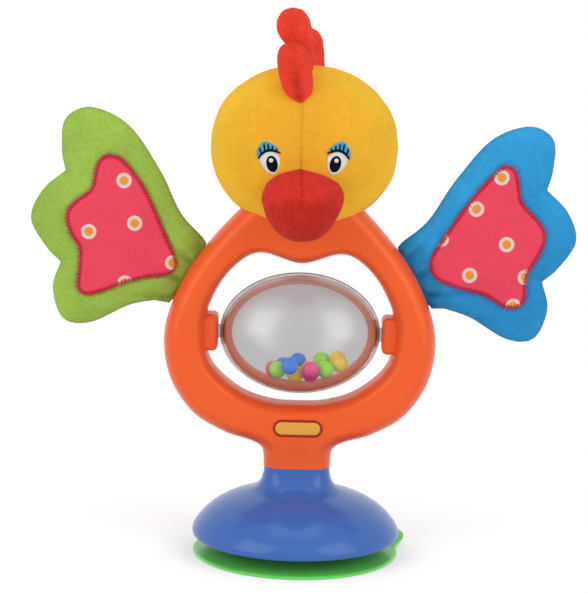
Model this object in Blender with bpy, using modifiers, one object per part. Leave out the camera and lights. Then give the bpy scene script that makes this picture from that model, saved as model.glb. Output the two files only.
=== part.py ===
"""Suction cup hen toy: a ring body on a suction base, with a spinning rattle egg,
stuffed head and flapping fabric wings.

Metres, +Z up, the face looks along -Y. The origin is on the table under the middle of
the suction cup. Left and right are as the toy is seen from the front.
"""
import math

import bmesh
import bpy
from mathutils import Matrix, Vector

# Fits
GAP = 0.0003
WALL = 0.0022

# Suction cup
CUP_RADIUS = 0.0455
CUP_FOOT_WIDTH = 0.0040
CUP_RIM_THICKNESS = 0.0014
CUP_HOLLOW = 0.0030
CUP_CROWN_RADIUS = 0.0110
CUP_CROWN_DROP = 0.0007
CUP_FALL = 1.6
CUP_STEPS = 4
STEM_RADIUS = 0.0065
KNOB_RADIUS = 0.0095
KNOB_HEIGHT = 0.0045
KNOB_FLAT_RADIUS = 0.0057
KNOB_CHAMFER = 0.0020
TAB_REACH = 0.0055
TAB_HALF_WIDTH = 0.0085
TAB_THICKNESS = 0.0018
TAB_LIFT = 0.0005
TAB_ANGLE = math.radians(20)
TAB_TIP = ((0.0047, 0.0), (0.0012, 0.0016), (0.0, 0.0057))

# Base dome and its underplate
BASE_RADIUS = 0.0457
BASE_RIM_Z = 0.0095
BASE_LIP_DROP = 0.0026
BASE_LIP_TUCK = 0.0022
SHOULDER_RADIUS = 0.0225
SHOULDER_Z = 0.0240
SHOULDER_FLAT = 0.0200
PLATE_THICKNESS = 0.0022
PLATE_COLLAR = 0.0028
WEB_THICKNESS = 0.0024
BASE_POST_CIRCLE = 0.0310
BASE_POST_COUNT = 3
NECK_DEPTH_GAIN = 0.8
SECTION_STEPS = 8

# Ring body
SEAM_Z = 0.0396
NECK_HALF_WIDTH = 0.0145
NECK_HALF_DEPTH = 0.0100
RING_HALF_DEPTH = 0.0120
RING_ROUND = 0.0072
RING_HALF_WIDTH = 0.0597
RING_WIDE_Z = 0.0945
RING_TOP_Z = 0.1685
SPIGOT_LENGTH = 0.0153
BAND_WIDTH = 0.0182
HOLE_RISE = 0.0358
HOLE_FALL = 0.0267

RING_UPPER = ((0.0, 1.0), (0.27, 0.92), (0.52, 0.74), (0.79, 0.475), (0.95, 0.215), (1.0, 0.0))
RING_LOWER = ((0.945, 0.69), (0.78, 0.425), (0.55, 0.274))
NECK_FLARE = ((0.0070, 0.208), (0.0019, 0.160), (0.0004, 0.085))
HOLE_SHAPE = (
    (0.0, 1.0), (0.445, 1.068), (0.745, 0.938), (0.95, 0.71), (1.0, 0.50),
    (0.925, 0.27), (0.625, 0.09), (0.30, 0.013), (0.0, 0.0),
)
NECK_BLEND_START = 0.002
NECK_BLEND_END = 0.016

# Spinning egg and its axle
AXLE_RISE = 0.0044
AXLE_RADIUS = 0.0031
AXLE_CLEARANCE = 0.0004
BEARING_SINK = 0.0052
BEARING_HALF_HEIGHT = 0.0080
BEARING_HALF_DEPTH = 0.0070
BEARING_ROUND = 0.0014
EGG_HALF_LENGTH = 0.0345
EGG_RADIUS = 0.0267
EGG_END_PLAY = 0.0015
EGG_WALL = 0.0022
EGG_BELT = 0.0043

# Beads
BEAD_RADIUS = 0.0037
BEAD_GAP = 0.0005
BEAD_STARTS = (
    ("pink", -0.0128, -0.0040),
    ("green", -0.0098, -0.0085),
    ("blue", -0.0044, -0.0110),
    ("yellow", 0.0025, -0.0100),
    ("pink", 0.0090, -0.0095),
    ("green", 0.0153, -0.0060),
    ("yellow", 0.0212, -0.0030),
    ("yellow", 0.0205, 0.0045),
    ("green", 0.0165, 0.0100),
    ("yellow", 0.0090, 0.0070),
    ("pink", 0.0006, 0.0015),
    ("pink", 0.0060, -0.0015),
    ("green", 0.0130, 0.0015),
    ("blue", 0.0030, 0.0095),
    ("blue", -0.0040, 0.0050),
)
SINK_STEPS = 300
CALM_STEPS = 400
SINK_PER_STEP = 0.00004
START_DEPTH = 0.6

# Fasteners
SCREW_RADIUS = 0.0014
SCREW_HEAD_RADIUS = 0.0027
SCREW_HEAD_HEIGHT = 0.0018
SCREW_DOME_SHARE = ((0.65, 0.90), (1.0, 0.40))
SHELL_SCREW_LENGTH = 0.0140
BASE_SCREW_LENGTH = 0.0095
NECK_SCREW_LENGTH = 0.0095
POST_WALL = 0.0015
SHELL_SCREW_ANGLES = (-54.2, -21.3, 61.2)
NECK_SCREW_X = 0.0055
NECK_SCREW_Y = 0.0038

# Wings
WING_ROOT_ANGLE = math.radians(27.03)
WING_ROOT_INSET = 0.00125
WING_TILT = math.radians(30.8)
WING_HINGE = 0.0016
WING_CLEARANCE = 0.0004
WING_LOFT = 0.0044
WING_EDGE = 0.0010
WING_SLOPE = ((0.00002, 0.0), (0.0015, 0.42), (0.0040, 0.76), (0.0078, 1.0))
FILLING_SLACK = 0.0006
FABRIC = 0.0008
PATCH_THICKNESS = 0.0007
ROOT_TAB_HALF_WIDTH = 0.0140
ROOT_TAB_HALF_THICKNESS = 0.0008
ROOT_TAB_DEPTH = 0.0055
ROOT_HEM_RADIUS = 0.0018
ROOT_HEM_STEPS = 8
WING_OUTLINE = (
    (0.0020, 0.0163), (0.0182, 0.0201), (0.0371, 0.0309), (0.0579, 0.0390),
    (0.0751, 0.0366), (0.0815, 0.0266), (0.0759, 0.0151), (0.0692, 0.0078),
    (0.0729, -0.0050), (0.0705, -0.0179), (0.0583, -0.0246), (0.0493, -0.0266),
    (0.0460, -0.0382), (0.0353, -0.0469), (0.0243, -0.0420), (0.0143, -0.0262),
    (0.0063, -0.0176), (0.0020, -0.0159),
)
WING_CORNERS = (0, 7, 11, 17)
PATCH_OUTLINE = (
    (0.0595, 0.0230), (0.0578, 0.0100), (0.0600, -0.0050), (0.0570, -0.0135),
    (0.0450, -0.0195), (0.0412, -0.0275), (0.0355, -0.0330), (0.0295, -0.0300),
    (0.0225, -0.0208), (0.0140, -0.0123), (0.0088, -0.0045), (0.0098, 0.0027),
    (0.0270, 0.0150), (0.0410, 0.0222), (0.0530, 0.0262),
)

# Head, comb, beak and what the head holds
HEAD_HALF_WIDTH = 0.0406
HEAD_HALF_DEPTH = 0.0330
HEAD_HALF_HEIGHT = 0.0338
HEAD_Z = 0.1838
COMB_HALF_THICKNESS = 0.0075
COMB_SEAM_REACH = 0.0042
COMB_LEAN = 0.0055
COMB_LEAN_START_Z = 0.2041
COMB_LEAN_END_Z = 0.2401
COMB_WAVE = 0.0140
COMB_SLOPE = ((0.08, 0.30), (0.30, 0.68), (0.62, 0.92), (1.0, 1.0))
COMB_OUTLINE = (
    (-0.0275, 0.1960), (-0.0290, 0.2060), (-0.0270, 0.2170), (-0.0200, 0.2245),
    (-0.0120, 0.2215), (-0.0085, 0.2330), (0.0000, 0.2402), (0.0080, 0.2360),
    (0.0095, 0.2245), (0.0165, 0.2275), (0.0225, 0.2200), (0.0220, 0.2080),
    (0.0190, 0.2000), (0.0000, 0.1980),
)
COMB_CORNERS = (0, 4, 8, 12)
BEAK_HALF_WIDTH = 0.0176
BEAK_HALF_HEIGHT = 0.0155
BEAK_X = -0.0005
BEAK_Z = 0.1587
BEAK_TIP_Y = -0.0450
BEAK_HALF_DEPTH = 0.0160
BEAK_BROW_TAPER = 0.12
BEAK_BROW_SETBACK = 0.0030
POST_STEM_RADIUS = 0.0036
POST_FLANGE_RADIUS = 0.0062
POST_FLANGE_THICKNESS = 0.0024
POST_CROWN_RADIUS = 0.0120
POST_CROWN_THICKNESS = 0.0032
POST_CROWN_RISE = 0.0035
POST_CROWN_FLAT_RADIUS = 0.0084
BULB_RADIUS = 0.0125
BULB_TOP_RADIUS = 0.0088
BULB_NECK_RADIUS = 0.0094
BULB_HEIGHT = 0.0190
BULB_PLEATS = 3
BULB_PLEAT_PITCH = 0.0051
BULB_PLEAT_DEPTH = 0.0020
BULB_SHOULDER = 0.0030
REED_RADIUS = 0.0042
REED_LENGTH = 0.0060

# Facets
ROUND_STEPS = 32
PIN_STEPS = 14
SCREW_STEPS = 8
OUTLINE_STEPS = 2
SLOPE_LIMIT = 1.4
DOME_STEPS = 5
EGG_STEPS = 24
HEAD_STEPS = 28
BEAK_STEPS = 20
POST_STEPS = 20
SHARP_ANGLE = math.radians(35)
WELD = 0.00001

# Sizes that follow
HOLE_HALF_WIDTH = RING_HALF_WIDTH - BAND_WIDTH
HOLE_TOP_Z = RING_WIDE_Z + HOLE_RISE
HOLE_BOTTOM_Z = RING_WIDE_Z - HOLE_FALL
AXLE_Z = RING_WIDE_Z + AXLE_RISE
PLATE_BOTTOM = BASE_RIM_Z - BASE_LIP_DROP + GAP
PLATE_TOP = PLATE_BOTTOM + PLATE_THICKNESS
NECK_ROUND = RING_ROUND * NECK_HALF_DEPTH / RING_HALF_DEPTH
SPIGOT_BOTTOM = SEAM_Z - SPIGOT_LENGTH
WEB_TOP = SPIGOT_BOTTOM - GAP
WEB_BOTTOM = WEB_TOP - WEB_THICKNESS
BEARING_FACE = EGG_HALF_LENGTH + EGG_END_PLAY
BEARING_END = HOLE_HALF_WIDTH + BEARING_SINK
AXLE_END = BEARING_END - WALL
CAVITY_LENGTH = EGG_HALF_LENGTH - EGG_BELT
CAVITY_HEIGHT = EGG_RADIUS - EGG_BELT
CAVITY_DEPTH = EGG_RADIUS - EGG_WALL
SCREW_HOLE_RADIUS = SCREW_RADIUS + GAP
COUNTERBORE_RADIUS = SCREW_HEAD_RADIUS + 2 * GAP
POST_RADIUS = COUNTERBORE_RADIUS + POST_WALL
POST_SHOULDER = RING_TOP_Z - WALL - GAP
POST_CROWN_Z = RING_TOP_Z + POST_CROWN_RISE
REED_BOTTOM = POST_CROWN_Z + POST_CROWN_THICKNESS + GAP

COLORS = {
    "orange": (0.870, 0.115, 0.027),
    "blue": (0.060, 0.140, 0.460),
    "green": (0.090, 0.480, 0.095),
    "clear": (0.480, 0.460, 0.460),
    "yellow": (0.860, 0.460, 0.025),
    "red": (0.800, 0.050, 0.030),
    "beak": (0.640, 0.030, 0.028),
    "lime": (0.300, 0.580, 0.070),
    "sky": (0.030, 0.270, 0.680),
    "pink": (0.830, 0.052, 0.110),
    "white": (0.800, 0.800, 0.780),
    "steel": (0.560, 0.560, 0.570),
    "bead pink": (0.800, 0.060, 0.220),
    "bead green": (0.130, 0.560, 0.060),
    "bead blue": (0.040, 0.140, 0.620),
    "bead yellow": (0.880, 0.500, 0.010),
}


def clear_scene():
    for obj in list(bpy.data.objects):
        bpy.data.objects.remove(obj, do_unlink=True)


def make_collection(name):
    collection = bpy.data.collections.new(name)
    bpy.context.scene.collection.children.link(collection)
    return collection


def make_material(name, color, roughness, metallic=0.0):
    material = bpy.data.materials.new(name)
    material.use_nodes = True
    shader = material.node_tree.nodes["Principled BSDF"]
    shader.inputs["Base Color"].default_value = (*COLORS[color], 1.0)
    shader.inputs["Roughness"].default_value = roughness
    shader.inputs["Metallic"].default_value = metallic
    return material


def finish_mesh(name, bm, collection):
    """Turn a bmesh into an object with outward faces and round shading."""
    bm.normal_update()
    bmesh.ops.recalc_face_normals(bm, faces=bm.faces)
    mesh = bpy.data.meshes.new(name)
    bm.to_mesh(mesh)
    bm.free()
    mesh.shade_smooth()
    mesh.set_sharp_from_angle(angle=SHARP_ANGLE)
    obj = bpy.data.objects.new(name, mesh)
    collection.objects.link(obj)
    return obj


def part(name, bm, color, roughness=0.35, metallic=0.0):
    obj = finish_mesh(name, bm, PARTS)
    obj.data.materials.append(make_material(name, color, roughness, metallic))
    return obj


def cutter(name, bm):
    obj = finish_mesh(name, bm, CUTTERS)
    obj.hide_render = True
    obj.display_type = "WIRE"
    return obj


def boolean(obj, other, operation="DIFFERENCE"):
    modifier = obj.modifiers.new(other.name, "BOOLEAN")
    modifier.object = other
    modifier.operation = operation
    modifier.solver = "EXACT"


def evaluated_bmesh(obj):
    """The object's mesh with its modifiers applied; the object is removed."""
    bpy.context.view_layer.update()
    graph = bpy.context.evaluated_depsgraph_get()
    mesh = bpy.data.meshes.new_from_object(obj.evaluated_get(graph))
    bm = bmesh.new()
    bm.from_mesh(mesh)
    bm.transform(obj.matrix_world)
    bpy.data.meshes.remove(mesh)
    bpy.data.objects.remove(obj, do_unlink=True)
    return bm


def add_box(bm, low, high):
    size = [high[i] - low[i] for i in range(3)]
    middle = [(high[i] + low[i]) / 2 for i in range(3)]
    matrix = Matrix.Translation(middle) @ Matrix.Diagonal((*size, 1.0))
    bmesh.ops.create_cube(bm, size=1.0, matrix=matrix)


def add_rod(bm, start, end, radius, steps=PIN_STEPS, end_radius=None):
    start, end = Vector(start), Vector(end)
    turn = (end - start).to_track_quat("Z", "Y").to_matrix().to_4x4()
    bmesh.ops.create_cone(
        bm, cap_ends=True, segments=steps, radius1=radius,
        radius2=radius if end_radius is None else end_radius,
        depth=(end - start).length,
        matrix=Matrix.Translation((start + end) / 2) @ turn)


def add_ellipsoid(bm, center, half_sizes, steps=ROUND_STEPS):
    matrix = Matrix.Translation(center) @ Matrix.Diagonal((*half_sizes, 1.0))
    bmesh.ops.create_uvsphere(bm, u_segments=steps, v_segments=steps // 2,
                              radius=1.0, matrix=matrix)


def turned(profile, steps=ROUND_STEPS, matrix=None):
    """Revolve a profile of (radius, height) points, top to bottom, about +Z."""
    mesh = bpy.data.meshes.new("profile")
    points = [(radius, 0.0, height) for radius, height in profile]
    mesh.from_pydata(points, [(i, i + 1) for i in range(len(points) - 1)], [])
    obj = bpy.data.objects.new("profile", mesh)
    CUTTERS.objects.link(obj)
    screw = obj.modifiers.new("turn", "SCREW")
    screw.steps = screw.render_steps = steps
    screw.use_merge_vertices = True
    screw.merge_threshold = WELD
    bm = evaluated_bmesh(obj)
    if matrix is not None:
        bm.transform(matrix)
    return bm


def closed_turn(profile, steps=ROUND_STEPS, matrix=None):
    """Revolve a closed ring profile that stays off the axis."""
    return turned([*profile, profile[0]], steps, matrix)


def smooth_path(points, corners=(), closed=True):
    """A curve through the points; it breaks only at the corners."""
    count = len(points)
    points = [Vector(p) for p in points]
    spans = count if closed else count - 1
    ends = set(corners) if closed else set(corners) | {0, count - 1}

    def slope(i):
        return (points[(i + 1) % count] - points[(i - 1) % count]) / 2

    path = []
    for i in range(spans):
        a, b = points[i], points[(i + 1) % count]
        leave = b - a if i in ends else slope(i)
        arrive = b - a if (i + 1) % count in ends else slope((i + 1) % count)
        limit = (b - a).length * SLOPE_LIMIT
        leave = leave * min(1.0, limit / leave.length)
        arrive = arrive * min(1.0, limit / arrive.length)
        for k in range(OUTLINE_STEPS):
            t = k / OUTLINE_STEPS
            path.append(a * (2 * t**3 - 3 * t**2 + 1) + leave * (t**3 - 2 * t**2 + t)
                        + b * (3 * t**2 - 2 * t**3) + arrive * (t**3 - t**2))
    if not closed:
        path.append(points[-1])
    return [(p.x, p.y) for p in path]


def mirrored_outline(half):
    """Close a right-hand half outline, from top middle to bottom middle."""
    left = [(-x, z) for x, z in reversed(half) if x > WELD]
    return [*half, *left]


def rounded_plate(outlines, half_depth, rounding, grow=0.0, bends=2):
    """A plate in the XZ plane with round edges, from a 2D curve with holes."""
    curve = bpy.data.curves.new("plate", "CURVE")
    curve.dimensions = "2D"
    curve.fill_mode = "BOTH"
    curve.bevel_depth = rounding
    curve.bevel_resolution = bends
    curve.extrude = half_depth - rounding
    curve.offset = grow - rounding
    for outline in outlines:
        spline = curve.splines.new("POLY")
        spline.points.add(len(outline) - 1)
        for point, (x, z) in zip(spline.points, outline):
            point.co = (x, z, 0.0, 1.0)
        spline.use_cyclic_u = True
    obj = bpy.data.objects.new("plate", curve)
    obj.rotation_euler = (math.pi / 2, 0.0, 0.0)
    CUTTERS.objects.link(obj)
    bm = evaluated_bmesh(obj)
    bmesh.ops.remove_doubles(bm, verts=bm.verts, dist=WELD)
    return bm


def flat_plate(outline, front, back):
    """A plain plate in the XZ plane between two depths."""
    bm = bmesh.new()
    face = bm.faces.new([bm.verts.new((x, front, z)) for x, z in outline])
    grown = bmesh.ops.extrude_face_region(bm, geom=[face])
    moved = [v for v in grown["geom"] if isinstance(v, bmesh.types.BMVert)]
    bmesh.ops.translate(bm, verts=moved, vec=(0.0, back - front, 0.0))
    return bm


def part_at_middle(obj, side):
    """Cut an object at the parting plane: keep its front (-1) or its back (+1)."""
    name = "behind_parting" if side < 0 else "before_parting"
    far = RING_HALF_WIDTH * 2
    box = bpy.data.objects.get(name)
    if box is None:
        bm = bmesh.new()
        ends = sorted((side * GAP / 2, -side * far))
        add_box(bm, (-far, ends[0], -far), (far, ends[1], RING_TOP_Z + far))
        box = cutter(name, bm)
    boolean(obj, box)


def smoothstep(value, low, high):
    t = min(1.0, max(0.0, (value - low) / (high - low)))
    return t * t * (3 - 2 * t)


# Suction cup

def make_suction_cup():
    knob_bottom = PLATE_TOP + GAP
    knob_top = knob_bottom + KNOB_HEIGHT
    foot = CUP_RADIUS - CUP_FOOT_WIDTH
    crown = PLATE_BOTTOM - GAP
    profile = [
        (0.0, knob_top), (KNOB_FLAT_RADIUS, knob_top), (KNOB_RADIUS, knob_top - KNOB_CHAMFER),
        (KNOB_RADIUS, knob_bottom), (STEM_RADIUS, knob_bottom), (STEM_RADIUS, crown),
    ]
    crown -= CUP_CROWN_DROP
    for k in range(CUP_STEPS + 1):
        t = k / CUP_STEPS
        radius = CUP_CROWN_RADIUS + (CUP_RADIUS - CUP_CROWN_RADIUS) * t
        profile.append((radius, CUP_RIM_THICKNESS + (crown - CUP_RIM_THICKNESS) * (1 - t) ** CUP_FALL))
    profile += [(CUP_RADIUS, 0.0), (foot, 0.0)]
    for k in range(1, CUP_STEPS + 1):
        t = k / CUP_STEPS
        profile.append((foot * (1 - t), CUP_HOLLOW * math.sin(t * math.pi / 2)))
    cup = part("suction_cup", turned(profile), "green", 0.3)

    tab = bmesh.new()
    reach = CUP_RADIUS + TAB_REACH
    edge = [(foot, TAB_HALF_WIDTH)]
    edge += [(reach - back, TAB_HALF_WIDTH - inwards) for back, inwards in TAB_TIP]
    outline = [(x, -y) for x, y in edge] + list(reversed(edge))
    face = tab.faces.new([tab.verts.new((x, y, TAB_LIFT)) for x, y in outline])
    grown = bmesh.ops.extrude_face_region(tab, geom=[face])
    top = [v for v in grown["geom"] if isinstance(v, bmesh.types.BMVert)]
    bmesh.ops.translate(tab, verts=top, vec=(0.0, 0.0, TAB_THICKNESS))
    tab.transform(Matrix.Rotation(TAB_ANGLE, 4, "Z"))
    boolean(cup, cutter("release_tab", tab), "UNION")
    return cup


# Base dome, underplate and their screws

def dome_profile():
    """Half width and height of the dome's outside, from the neck seam to the lip."""
    across = SHOULDER_RADIUS - NECK_HALF_WIDTH
    down = SEAM_Z - SHOULDER_Z
    points = []
    for k in range(DOME_STEPS):
        t = k / (DOME_STEPS - 1) * math.pi / 2
        points.append((SHOULDER_RADIUS - across * math.cos(t), SEAM_Z - down * math.sin(t)))
    span, rise, first = dome_arc()
    for k in range(1, DOME_STEPS + 1):
        t = first * (1 - k / DOME_STEPS)
        points.append((SHOULDER_FLAT + span * math.cos(t), BASE_RIM_Z + rise * math.sin(t)))
    points.append((BASE_RADIUS - BASE_LIP_TUCK, BASE_RIM_Z - BASE_LIP_DROP))
    return points


def dome_arc():
    """Half axes of the dome's elliptic arc and the angle where its shoulder starts."""
    span = BASE_RADIUS - SHOULDER_FLAT
    first = math.acos((SHOULDER_RADIUS - SHOULDER_FLAT) / span)
    return span, (SHOULDER_Z - BASE_RIM_Z) / math.sin(first), first


def dome_hollow_profile():
    """Inside of the dome, one wall in from the arc, with the web as its ceiling."""
    span, rise, first = dome_arc()
    ceiling = math.asin((WEB_BOTTOM + WALL - BASE_RIM_Z) / rise)
    points = [(0.0, WEB_BOTTOM)]
    for k in range(DOME_STEPS + 1):
        t = ceiling * (1 - k / DOME_STEPS)
        normal = Vector((math.cos(t) / span, math.sin(t) / rise)).normalized() * WALL
        points.append((SHOULDER_FLAT + span * math.cos(t) - normal.x,
                       min(WEB_BOTTOM, BASE_RIM_Z + rise * math.sin(t) - normal.y)))
    bottom = BASE_RIM_Z - BASE_LIP_DROP - GAP
    points += [(BASE_RADIUS - BASE_LIP_TUCK - WALL, bottom), (0.0, bottom)]
    return points


def section(half_width, half_depth, rounding, roundness):
    """A closed section from a rounded oblong (roundness 0) to a circle (1)."""
    ring = []
    for quarter in range(4):
        turn = Matrix.Rotation(quarter * math.pi / 2, 2)
        for k in range(SECTION_STEPS):
            bend = k / (SECTION_STEPS - 1) * math.pi / 2
            wide, deep = (half_width, half_depth)
            if quarter % 2:
                wide, deep = deep, wide
            oblong = Vector((wide - rounding + rounding * math.cos(bend),
                             deep - rounding + rounding * math.sin(bend)))
            angle = (k + 0.5) / SECTION_STEPS * math.pi / 2
            disc = Vector((math.cos(angle), math.sin(angle))) * half_width
            point = turn @ oblong.lerp(disc, roundness)
            ring.append((point.x, point.y))
    return ring


def neck_section(inset):
    return section(NECK_HALF_WIDTH - inset, NECK_HALF_DEPTH - inset, NECK_ROUND - inset / 2, 0.0)


def loft(rings):
    """Join rings of (x, y, z) points of equal count and cap both ends."""
    bm = bmesh.new()
    rows = [[bm.verts.new(p) for p in ring] for ring in rings]
    count = len(rows[0])
    for upper, lower in zip(rows, rows[1:]):
        for i in range(count):
            j = (i + 1) % count
            bm.faces.new((upper[i], upper[j], lower[j], lower[i]))
    bm.faces.new(list(reversed(rows[0])))
    bm.faces.new(rows[-1])
    return bm


def neck_prism(inset, bottom, top):
    ring = neck_section(inset)
    return loft([[(x, y, z) for x, y in ring] for z in (top, bottom)])


def base_post_places():
    for k in range(BASE_POST_COUNT):
        angle = math.pi / 2 + k * 2 * math.pi / BASE_POST_COUNT
        yield BASE_POST_CIRCLE * math.cos(angle), BASE_POST_CIRCLE * math.sin(angle)


def neck_screw_places():
    return ((-NECK_SCREW_X, -NECK_SCREW_Y), (NECK_SCREW_X, NECK_SCREW_Y))


def make_base_dome():
    rings = []
    for half_width, z in dome_profile():
        roundness = 1 - smoothstep(z, SHOULDER_Z, SEAM_Z)
        depth = NECK_HALF_DEPTH + (half_width - NECK_HALF_WIDTH) * NECK_DEPTH_GAIN
        ring = section(half_width, depth, NECK_ROUND, roundness)
        rings.append([(x, y, z) for x, y in ring])
    dome = part("base_dome", loft(rings), "blue", 0.22)

    inside = cutter("dome_hollow", turned(dome_hollow_profile()))
    posts = bmesh.new()
    for x, y in base_post_places():
        add_rod(posts, (x, y, PLATE_TOP + GAP), (x, y, SHOULDER_Z), POST_RADIUS)
    boolean(inside, cutter("base_posts", posts))
    boolean(dome, inside)

    socket = neck_prism(WALL, WEB_TOP, SEAM_Z + WALL)
    boolean(dome, cutter("neck_socket", socket))
    holes = bmesh.new()
    for x, y in neck_screw_places():
        add_rod(holes, (x, y, WEB_BOTTOM - WALL), (x, y, WEB_TOP + GAP), SCREW_HOLE_RADIUS, SCREW_STEPS)
    for x, y in base_post_places():
        add_rod(holes, (x, y, PLATE_BOTTOM), (x, y, PLATE_BOTTOM + BASE_SCREW_LENGTH + WALL),
                SCREW_HOLE_RADIUS, SCREW_STEPS)
    boolean(dome, cutter("dome_screw_holes", holes))
    return dome


def make_base_plate():
    outer = BASE_RADIUS - BASE_LIP_TUCK - WALL - 2 * GAP
    hole = STEM_RADIUS + 2 * GAP
    collar = KNOB_RADIUS + 4 * GAP
    profile = [
        (collar, PLATE_TOP + PLATE_COLLAR), (collar + WALL, PLATE_TOP + PLATE_COLLAR),
        (collar + WALL, PLATE_TOP), (outer, PLATE_TOP), (outer, PLATE_BOTTOM),
        (hole, PLATE_BOTTOM), (hole, PLATE_TOP), (collar, PLATE_TOP),
    ]
    plate = part("base_plate", closed_turn(profile), "blue", 0.35)
    holes = bmesh.new()
    for x, y in base_post_places():
        add_rod(holes, (x, y, PLATE_BOTTOM - WALL), (x, y, PLATE_TOP + WALL), SCREW_HOLE_RADIUS, SCREW_STEPS)
    boolean(plate, cutter("plate_screw_holes", holes))
    seats = bmesh.new()
    for x, y in base_post_places():
        add_rod(seats, (x, y, PLATE_BOTTOM - WALL), (x, y, PLATE_BOTTOM + PLATE_THICKNESS / 2),
                COUNTERBORE_RADIUS, PIN_STEPS)
    boolean(plate, cutter("plate_screw_seats", seats))
    return plate


def make_screw(name, seat, direction, length):
    """A pan head screw whose head rests on seat and whose shank runs along direction."""
    dome = [(across * SCREW_HEAD_RADIUS, up * SCREW_HEAD_HEIGHT) for across, up in SCREW_DOME_SHARE]
    profile = [
        (0.0, SCREW_HEAD_HEIGHT), *dome, (SCREW_HEAD_RADIUS, 0.0),
        (SCREW_RADIUS, 0.0), (SCREW_RADIUS, -length + SCREW_RADIUS), (0.0, -length),
    ]
    turn = (-Vector(direction)).to_track_quat("Z", "Y").to_matrix().to_4x4()
    start = Vector(seat) - Vector(direction) * GAP
    matrix = Matrix.Translation(start) @ turn
    return part(name, turned(profile, SCREW_STEPS, matrix), "steel", 0.3, 1.0)


# Ring body

def ring_outline():
    """Teardrop outline: apex, shoulder, widest point, flare and neck."""
    rise = RING_WIDE_Z - SEAM_Z
    fall = RING_TOP_Z - RING_WIDE_Z
    half = [(RING_HALF_WIDTH * x, RING_WIDE_Z + fall * z) for x, z in RING_UPPER]
    half += [(RING_HALF_WIDTH * x, SEAM_Z + rise * z) for x, z in RING_LOWER]
    half += [(NECK_HALF_WIDTH + out, SEAM_Z + rise * z) for out, z in NECK_FLARE]
    half.append((NECK_HALF_WIDTH, SPIGOT_BOTTOM))
    return mirrored_outline(smooth_path(half, closed=False))


def hole_outline():
    height = HOLE_TOP_Z - HOLE_BOTTOM_Z
    half = [(HOLE_HALF_WIDTH * x, HOLE_BOTTOM_Z + height * z) for x, z in HOLE_SHAPE]
    closed = [*half, *[(-x, z) for x, z in reversed(half[1:-1])]]
    return smooth_path(closed)


def band_round():
    """The ring's edge rounding, within what its narrowest stretch allows."""
    narrowest = min((Vector(a) - Vector(b)).length for a in ring_outline() for b in hole_outline())
    return min(RING_ROUND, narrowest / 2 - GAP)


def slim_neck(bm):
    """Draw the ring's depth in towards the neck."""
    slim = NECK_HALF_DEPTH / RING_HALF_DEPTH
    for vert in bm.verts:
        share = smoothstep(vert.co.z - SEAM_Z, NECK_BLEND_START, NECK_BLEND_END)
        vert.co.y *= slim + (1 - slim) * share
    return bm


def ring_solid(inset):
    """The ring's outer form, or the hollow inside its wall."""
    bm = rounded_plate([ring_outline(), hole_outline()], RING_HALF_DEPTH - inset,
                       band_round() - inset, -inset, bends=1 if inset else 2)
    slim_neck(bm)
    bottom = SEAM_Z + inset
    cut = bmesh.ops.bisect_plane(
        bm, geom=[*bm.verts, *bm.edges, *bm.faces], plane_co=(0.0, 0.0, bottom),
        plane_no=(0.0, 0.0, 1.0), clear_inner=True)
    rim = [e for e in cut["geom_cut"] if isinstance(e, bmesh.types.BMEdge)]
    bmesh.ops.triangle_fill(bm, use_beauty=True, use_dissolve=False, edges=rim)
    return bm


def reach(outline, angle):
    """Distance from the axle to the farthest crossing of an outline along a ray."""
    ray = Vector((math.cos(angle), math.sin(angle)))
    farthest = 0.0
    for i, point in enumerate(outline):
        start = Vector(point) - Vector((0.0, AXLE_Z))
        along = Vector(outline[(i + 1) % len(outline)]) - Vector((0.0, AXLE_Z)) - start
        across = ray.cross(along)
        if abs(across) > WELD * WELD:
            share = start.cross(ray) / across
            if 0.0 <= share <= 1.0:
                farthest = max(farthest, (start + along * share).dot(ray))
    return farthest


def shell_screw_places():
    """Three screws down each side of the ring, in the middle of its band."""
    for degrees in SHELL_SCREW_ANGLES:
        angle = math.radians(degrees)
        middle = (reach(ring_outline(), angle) + reach(hole_outline(), angle)) / 2
        x, z = middle * math.cos(angle), AXLE_Z + middle * math.sin(angle)
        yield -x, z
        yield x, z


def wing_matrix(side):
    """Where a wing's root lies in the ring's edge, with its local X pointing outwards."""
    distance = reach(ring_outline(), WING_ROOT_ANGLE) - WING_ROOT_INSET
    x = distance * math.cos(WING_ROOT_ANGLE)
    z = AXLE_Z + distance * math.sin(WING_ROOT_ANGLE)
    return Matrix.Translation((side * x, 0.0, z)) @ Matrix.Rotation(-side * WING_TILT, 4, "Y")


def ring_hollow():
    """The hollow of both shells, less the screw posts and bearing blocks in it."""
    hollow = cutter("ring_hollow", ring_solid(WALL))
    posts = bmesh.new()
    for x, z in shell_screw_places():
        add_rod(posts, (x, -RING_HALF_DEPTH, z), (x, RING_HALF_DEPTH, z), POST_RADIUS)
    boolean(hollow, cutter("ring_posts", posts))
    boolean(hollow, bearing_blocks())
    return hollow


def bearing_blocks():
    """Blocks on both sides of the hole that hold the egg's axle."""
    existing = bpy.data.objects.get("bearing_blocks")
    if existing:
        return existing
    blocks = bmesh.new()
    for side in (-1, 1):
        ends = sorted((side * BEARING_FACE, side * BEARING_END))
        add_box(blocks, (ends[0], -BEARING_HALF_DEPTH, AXLE_Z - BEARING_HALF_HEIGHT),
                (ends[1], BEARING_HALF_DEPTH, AXLE_Z + BEARING_HALF_HEIGHT))
    bmesh.ops.bevel(blocks, geom=blocks.edges[:], offset=BEARING_ROUND, segments=2,
                    affect="EDGES", profile=0.5)
    return cutter("bearing_blocks", blocks)


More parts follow.
